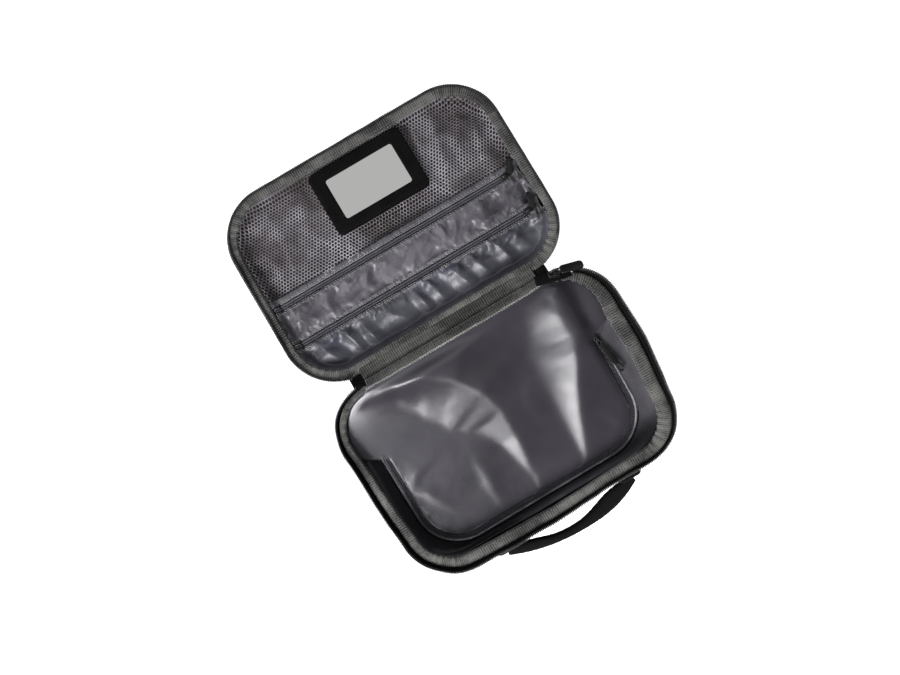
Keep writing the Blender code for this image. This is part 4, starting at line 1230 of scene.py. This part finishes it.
def make_net():
    """Knitted mesh with six-sided openings as real holes."""
    pitch = 2.9 * MM
    size = pitch / math.sqrt(3)
    hexagon = [(size * math.sin(math.radians(60 * k)), size * math.cos(math.radians(60 * k)))
               for k in range(6)]
    verts, index, faces = [], {}, []

    def vertex(x, y):
        key = (round(x / (0.02 * MM)), round(y / (0.02 * MM)))
        if key not in index:
            index[key] = len(verts)
            verts.append((x, y))
        return index[key]

    row, y = 0, UPPER_ZIP + 4.2 * MM
    while y < DEPTH - 4 * MM:
        x = -WIDTH / 2 + (pitch / 2 if row % 2 else 0)
        while x < WIDTH / 2:
            under = (abs(x - MIRROR_X) < FRAME_W / 2 - 4 * MM
                     and abs(y - MIRROR_Y) < FRAME_H / 2 - 4 * MM)
            if lid_inset(x, y) > 4.2 * MM and not under:
                hole = 0.76 + 0.06 * wobble(x, y, 6 * MM, 62.0)
                ring, inner = [], []
                for (cx, cy), (nx, ny) in zip(hexagon, hexagon[1:] + hexagon[:1]):
                    ring.append(vertex(x + cx, y + cy))
                    inner += [len(verts), len(verts) + 1]
                    verts.append((x + cx * hole, y + cy * hole))
                    verts.append((x + (cx + nx) / 2 * hole * 1.13, y + (cy + ny) / 2 * hole * 1.13))
                for k in range(6):
                    a, b = ring[k], ring[(k + 1) % 6]
                    first, middle, last = inner[2 * k], inner[2 * k + 1], inner[(2 * k + 2) % 12]
                    faces += [(a, first, middle), (a, middle, b), (b, middle, last)]
            x += pitch
        y += size * 1.5
        row += 1
    points = [LID @ Vector((x, y, net_z(x, y))) for x, y in verts]
    net = thick(build("mesh_pocket_net", points, faces, NET, verts), 0.5 * MM)
    placed(net, "lid", "mesh", "mesh_pocket")


def crinkle(x, y, near, far):
    """Small creases that run away from the two sewn edges, and softer dents between them."""
    edge = min(y - near, far - y)
    sewn = math.exp(-edge / (5 * MM))
    fine = wobble(x, y * 0.4, 2.8 * MM, 70.0)
    medium = 0.5 - abs(wobble(x + 0.4 * y, y * 0.55, 9 * MM, 71.0)) * 2
    broad = wobble(x - 0.2 * y, y * 0.8, 17 * MM, 72.0)
    sharp = 0.5 - abs(wobble(x - 0.5 * y, y * 0.7, 13 * MM, 78.0)) * 2
    return (1.2 * sewn * fine + 1.0 * medium * (0.5 + 0.5 * sewn)
            + (4.6 * broad + 3.0 * sharp) * smooth(edge / (8 * MM))) * MM


def lid_half(y):
    radius = CORNER - 5 * MM
    beyond = max(CORNER - y, y - (DEPTH - CORNER), 0)
    return HALF_X + math.sqrt(max(radius ** 2 - beyond ** 2, 0))


def panel(name, near, far, level, look, node):
    step = 0.9 * MM
    lines = max(4, round((far - near) / step))
    rows = [span(lid_half(y), round(WIDTH / step), y, level)
            for y in (near + (far - near) * r / lines for r in range(lines + 1))]
    uvs = [(x, y) for row in rows for x, y, _ in row]
    piece = thick(grid(name, softened(rows, 2), look, LID, uvs=uvs), 0.5 * MM)
    placed(piece, "lid", "lining", node)


def middle_level(x, y):
    fall = smooth((x - 104 * MM) / (9 * MM)) * smooth((x - y - 40 * MM) / (12 * MM))
    return lid_level(x, y) + crinkle(x, y, LOWER_ZIP + 4 * MM, UPPER_ZIP - 4 * MM) - 6 * MM * fall


def lower_level(x, y):
    """The lower lining hangs loose in sharp folds that open towards the hinge."""
    z = lid_level(x, y)
    sewn = smooth((y - 26 * MM) / (10 * MM))
    loose = smooth((y - 5 * MM) / (7 * MM)) * smooth((LOWER_ZIP - 2 * MM - y) / (12 * MM))
    held = smooth((lid_inset(x, y) - 7 * MM) / (6 * MM))
    place = x / (21 * MM) + 0.55 * wobble(x, 0, 34 * MM, 73.0) + 0.35 * (y - 20 * MM) / (20 * MM)
    wave = abs(place - math.floor(place) - 0.5) * 2
    peak = (1 - wave) ** 1.3 * (0.6 + 0.5 * wobble(math.floor(place) * 3.1, 0, 1, 74.0))
    z += held * loose * (6.0 * MM * peak * smooth((y - 11 * MM) / (9 * MM)) - 2.0 * MM)
    z -= held * 5.0 * MM * math.exp(-((y - 14 * MM) / (7 * MM)) ** 2)
    z += held * 3.0 * MM * wobble(x + 0.5 * y, y, 18 * MM, 77.0) * loose
    by_zip = smooth((y - LOWER_ZIP + 15 * MM) / (9 * MM))
    z += 0.8 * MM * wobble(x, y * 0.4, 3.0 * MM, 79.0) * by_zip
    return z + sewn * crinkle(x, y, -50 * MM, LOWER_ZIP - 4 * MM)


def make_zip_side(prefix, at, side, place):
    """One side of a pocket zip: tape, coil, cord, the folded edge of the cloth and the stitches."""
    xs = np.arange(-117.5 * MM, 117.6 * MM, 0.8 * MM)

    def beside(out, lift):
        y = at + side * out * MM
        return [(x, y, lid_level(x, y) + lift * MM) for x in xs]

    rows = [[(x, y, z + 0.18 * MM * (k > 1) * wobble(x, y, 2.8 * MM, 75.0))
             for x, y, z in beside(out, -0.55)] for k, out in enumerate((0.35, 1.6, 3.0, 4.6, 6.0))]
    tape = thick(grid(f"{prefix}_tape_{place}", rows, POCKET_TAPE, LID), 0.4 * MM)
    placed(tape, "lid", "zip_tape", f"{prefix}_zip_tape_{place}")
    teeth = coil(f"{prefix}_coil_{place}", beside(0.98, 0.15), [(0, side, 0)] * len(xs),
                 POCKET_TEETH, LIGHT_COIL, LID, 0 if side > 0 else math.pi, 0.75)
    placed(teeth, "lid", "zip_coil", f"{prefix}_zip_coil_{place}")
    cord = tube(f"{prefix}_tape_cord_{place}", resample(beside(2.05, -0.2), 1.2 * MM), 0.62 * MM,
                THREAD, 6, matrix=LID)
    placed(cord, "lid", "zip_tape")
    sew(f"{prefix}_tape_stitch_{place}", beside(3.0, -0.1), POCKET_TAPE_SEAM, PALE_THREAD, LID,
        "lid", "zip_tape")
    wide, look, hem_name = 3.4, CRINKLED, f"{prefix}_hem_{place}"
    if (prefix, place) == ("upper", "far"):
        wide, look, hem_name = 5.0, POCKET_TAPE, "upper_zip_hem"
    rows = [[(x, y + 0.25 * MM * wobble(x, at, 5 * MM, 76.0),
              z + 0.7 * MM * wobble(x, y * 0.5, 2.6 * MM, 77.0)) for x, y, z in beside(out, lift)]
            for out, lift in ((3.5, -0.5), (3.35, -0.3), (3.5, -0.05), (4.2, 0.1),
                              (3.3 + wide * 0.7, 0.15), (3.3 + wide, 0.0))]
    hem = thick(grid(hem_name, rows, look, LID), 0.35 * MM)
    placed(hem, "lid", "lining")
    sew(f"{prefix}_hem_stitch_{place}", beside(4.6, 0.42), HEM_SEAM, PALE_THREAD, LID, "lid",
        "lining")


def make_pockets():
    panel("middle_pocket_cloth", LOWER_ZIP + 3.4 * MM, UPPER_ZIP - 3.4 * MM, middle_level,
          CRINKLED, "middle_pocket_panel")
    panel("lower_lining_cloth", 5.2 * MM, LOWER_ZIP - 3.4 * MM, lower_level, LOOSE_LINING,
          "lower_lining_panel")
    make_net()
    for prefix, at in (("upper", UPPER_ZIP), ("lower", LOWER_ZIP)):
        make_zip_side(prefix, at, -1, "near")
        make_zip_side(prefix, at, 1, "far")


def make_end_tab(seat):
    """Black tape folded under the parked outer slider, from the hinge's end to the zip."""
    rows = []
    for v in (2 * r / 8 - 1 for r in range(9)):
        row = []
        for x in (-16 + 30 * c / 28 for c in range(29)):
            y = v * (4.6 - 0.9 * smooth((x - 4) / 10)) - 0.6
            row.append((x * MM, y * MM, (-2.0 - 0.7 * v * v + 0.5 * wobble(x, y, 6, 97.0)) * MM))
        rows.append(row)
    tab = thick(grid("outer_zip_end_tab", rows, TAPE, seat), 0.8 * MM)
    placed(tab, "base", "zip_tape")


def make_end_covers():
    """Cloth folded over the slider ends of the pocket zips, coloured near-black as painted shade of
    the lid's right end, and a bar tack at the others.
    """
    for prefix, at in (("upper", UPPER_ZIP), ("lower", LOWER_ZIP)):
        x = -112.4 * MM
        tack = [(x, at + v * MM, lid_level(x, at) + (0.9 - 0.02 * v * v) * MM)
                for v in np.linspace(-3.6, 3.6, 13)]
        radii = (0.6 + 0.12 * np.cos(np.arange(13) * TAU / 2)) * MM
        placed(tube(prefix + "_bar_tack", tack, radii, THREAD, 8, matrix=LID), "lid", "zip_tape")
        rows = []
        for v in (2 * r / 12 - 1 for r in range(13)):
            row = []
            for u in (c / 16 for c in range(17)):
                x = (108.0 + 10.4 * u - 2.5 * (1 - v * v)) * MM
                y = at + (v * (7.0 + 1.5 * u) - 1.0) * MM
                lift = (0.9 + 1.4 * math.exp(-(v / 0.35) ** 2) + 0.8 * u
                        + 1.5 * wobble(x, y, 4.5 * MM, 95.0))
                row.append((x, y, lid_level(x, y) + lift * MM))
            rows.append(row)
        # painted shade: the cover uses the near-black lining to stand for the shade along the lid's
        # right wall
        cover = thick(grid(prefix + "_zip_end_cover", rows, SHADE_DARK_LINING, LID), 0.6 * MM)
        placed(cover, "lid", "zip_tape")


# ------------------------------------------------------------------ mirror

def rounded(w, h, r):
    """A rounded rectangle round the mirror's centre, with points along its sides."""
    corners = [(MIRROR_X + sx * (w / 2 - r), MIRROR_Y + sy * (h / 2 - r)) for sx, sy in QUARTERS]
    points = []
    for quarter, (cx, cy) in enumerate(corners):
        turns = [math.pi / 2 * (quarter + k / 8) for k in range(9)]
        points += [(cx + r * math.cos(a), cy + r * math.sin(a)) for a in turns]
        ex, ey = corners[(quarter + 1) % 4]
        dx, dy = ex - cx, ey - cy
        sx, sy = points[-1]
        points += [(sx + dx * k / 10, sy + dy * k / 10) for k in range(1, 10)]
    return points


def make_mirror():
    low, top = -5.12 * MM, 2.4
    edges = list(zip(rounded(63.4 * MM, 37.4 * MM, 2.2 * MM),
                     rounded(FRAME_W - 0.4 * MM, FRAME_H - 0.4 * MM, 5 * MM)))
    profile = ((0.0, 1.32), (0.0, 1.75), (0.04, 2.1), (0.10, top - 0.1), (0.2, top),
               (0.36, top - 0.18), (0.5, top - 0.05), (0.66, top), (0.80, top - 0.02),
               (0.86, top - 0.2), (0.90, top - 0.06), (0.96, top - 0.35), (1.0, 1.3), (0.995, 0.3),
               (0.97, 0.0), (0.6, 0.0), (0.3, 0.0), (0.28, 1.3))

    def between(share):
        return [(a[0] + (b[0] - a[0]) * share, a[1] + (b[1] - a[1]) * share) for a, b in edges]

    rows = [[(x, y, low + z * MM + 0.06 * MM * wobble(a[0] + share * 0.01, a[1], 9 * MM, 80.0))
             for (x, y), (a, _) in zip(between(share), edges)] for share, z in profile]
    frame_piece = grid("mirror_frame_leather", rows + rows[:1], LEATHER, LID, True)
    placed(edited(frame_piece, weld, point_out), "lid", "frame_leather", "mirror_frame")
    sew("mirror_frame_stitch", [(x, y, low + (top - 0.12) * MM) for x, y in between(0.86)],
        FRAME_SEAM, THREAD, LID, "lid", "frame_leather", closed=True)


# ------------------------------------------------------------------ everything in place

for tray in TRAYS:
    make_shell(tray)
    make_core(tray, "foam", FOAM, 1.2 * MM, 2.0 * MM)
    make_core(tray, "board", BOARD, 3.2 * MM, 1.2 * MM)
    make_lining(tray)
for tray in TRAYS:
    make_binding(tray)
for tray, start in zip(TRAYS, (36, 48)):
    make_outer_zip(tray, start)
make_hinge()
make_seam()
make_divider()
make_divider_zip()
make_handle()
make_pockets()
make_end_covers()
make_mirror()

parked = math.radians(15)
seat = seat_of("main_puller_lift", (math.cos(parked), -math.sin(parked), 0), 1.2)
make_end_tab(seat)
make_slider("main_slider", seat, 1.2, "base")
make_puller("main_puller", seat, 1.2, 25 * MM, 8 * MM, 0)
seat = seat_of("divider_puller_lift", joints["divider_zip"]["axis"], 1)
make_slider("divider_slider", seat, 1, "divider_slider")
make_puller("divider_puller", seat, 1, 37 * MM, 5.8 * MM, math.radians(12), eyelet=True)
for name, turn in (("upper", 62), ("lower", 78)):
    seat = seat_of(name + "_puller_lift", (1, 0, 0), 1)
    make_slider(name + "_slider", seat, 1, name + "_slider")
    make_puller(name + "_puller", seat, 1, 19 * MM, 5 * MM, math.radians(turn))

for node, look in (("mirror_backing", LEATHER), ("mirror_glass", MIRROR)):
    for place in bpy.data.objects[node].material_slots:
        place.material = look

# ------------------------------------------------------------------ studio

scene = bpy.context.scene
paper = Look("studio_paper", Roughness=0.9, Emission_Strength=0.95, Specular_IOR_Level=0.1,
             Emission_Color=(1, 1, 1, 1), Base_Color=(0.9, 0.9, 0.9, 1))
floor_mesh = bpy.data.meshes.new("floor")
floor_mesh.from_pydata([(-2, -2, 0), (2, -2, 0), (2, 2, 0), (-2, 2, 0)], [], [(0, 1, 2, 3)])
linked("studio_floor", floor_mesh, paper.mat)


def light(name, place, aim, size, power, colour=(1, 1, 1)):
    lamp = bpy.data.lights.new(name, "AREA")
    lamp.shape = "RECTANGLE"
    lamp.size, lamp.size_y = size
    lamp.energy = power
    lamp.color = colour
    made = bpy.data.objects.new(name, lamp)
    made.location = place
    made.rotation_euler = (Vector(aim) - Vector(place)).to_track_quat("-Z", "Y").to_euler()
    scene.collection.objects.link(made)


light("key", (-0.80, -0.62, 1.08), (0, -0.06, 0.04), (0.54, 0.54), 30, (1.0, 0.985, 1.0))
light("lid_key", (-0.85, 0.75, 0.80), (0, 0.11, 0.04), (0.30, 0.30), 5.5, (0.97, 0.98, 1.0))
light("cool", (-0.35, -0.49, 1.32), (0, -0.06, 0.04), (0.22, 0.3), 0.45, (0.70, 0.86, 1.0))
light("fill", (0.9, 0.7, 1.2), (0, 0, 0.05), (0.7, 0.7), 2.5, (0.95, 0.97, 1.0))
light("top", (0.1, 0.0, 1.9), (0, 0, 0), (1.2, 1.2), 4)
light("mirror_card", (0.07, 0.92, 1.9), (0, 0.15, 0.04), (0.8, 0.8), 1.25)

world = bpy.data.worlds.new("studio")
world.use_nodes = True
background = world.node_tree.nodes["Background"]
background.inputs["Color"].default_value = (1, 1, 1, 1)
background.inputs["Strength"].default_value = 0.09
scene.world = world
scene.view_settings.view_transform = "Standard"

lens = bpy.data.cameras.new("camera")
lens.lens = 50
lens.sensor_width = 36
lens.clip_start, lens.clip_end = 0.01, 10
camera = bpy.data.objects.new("camera", lens)
camera.location = (-0.030, 0.049, 1.073)
camera.rotation_euler = [math.radians(a) for a in (-1.46, -2.54, -30.54)]
scene.collection.objects.link(camera)
scene.camera = camera
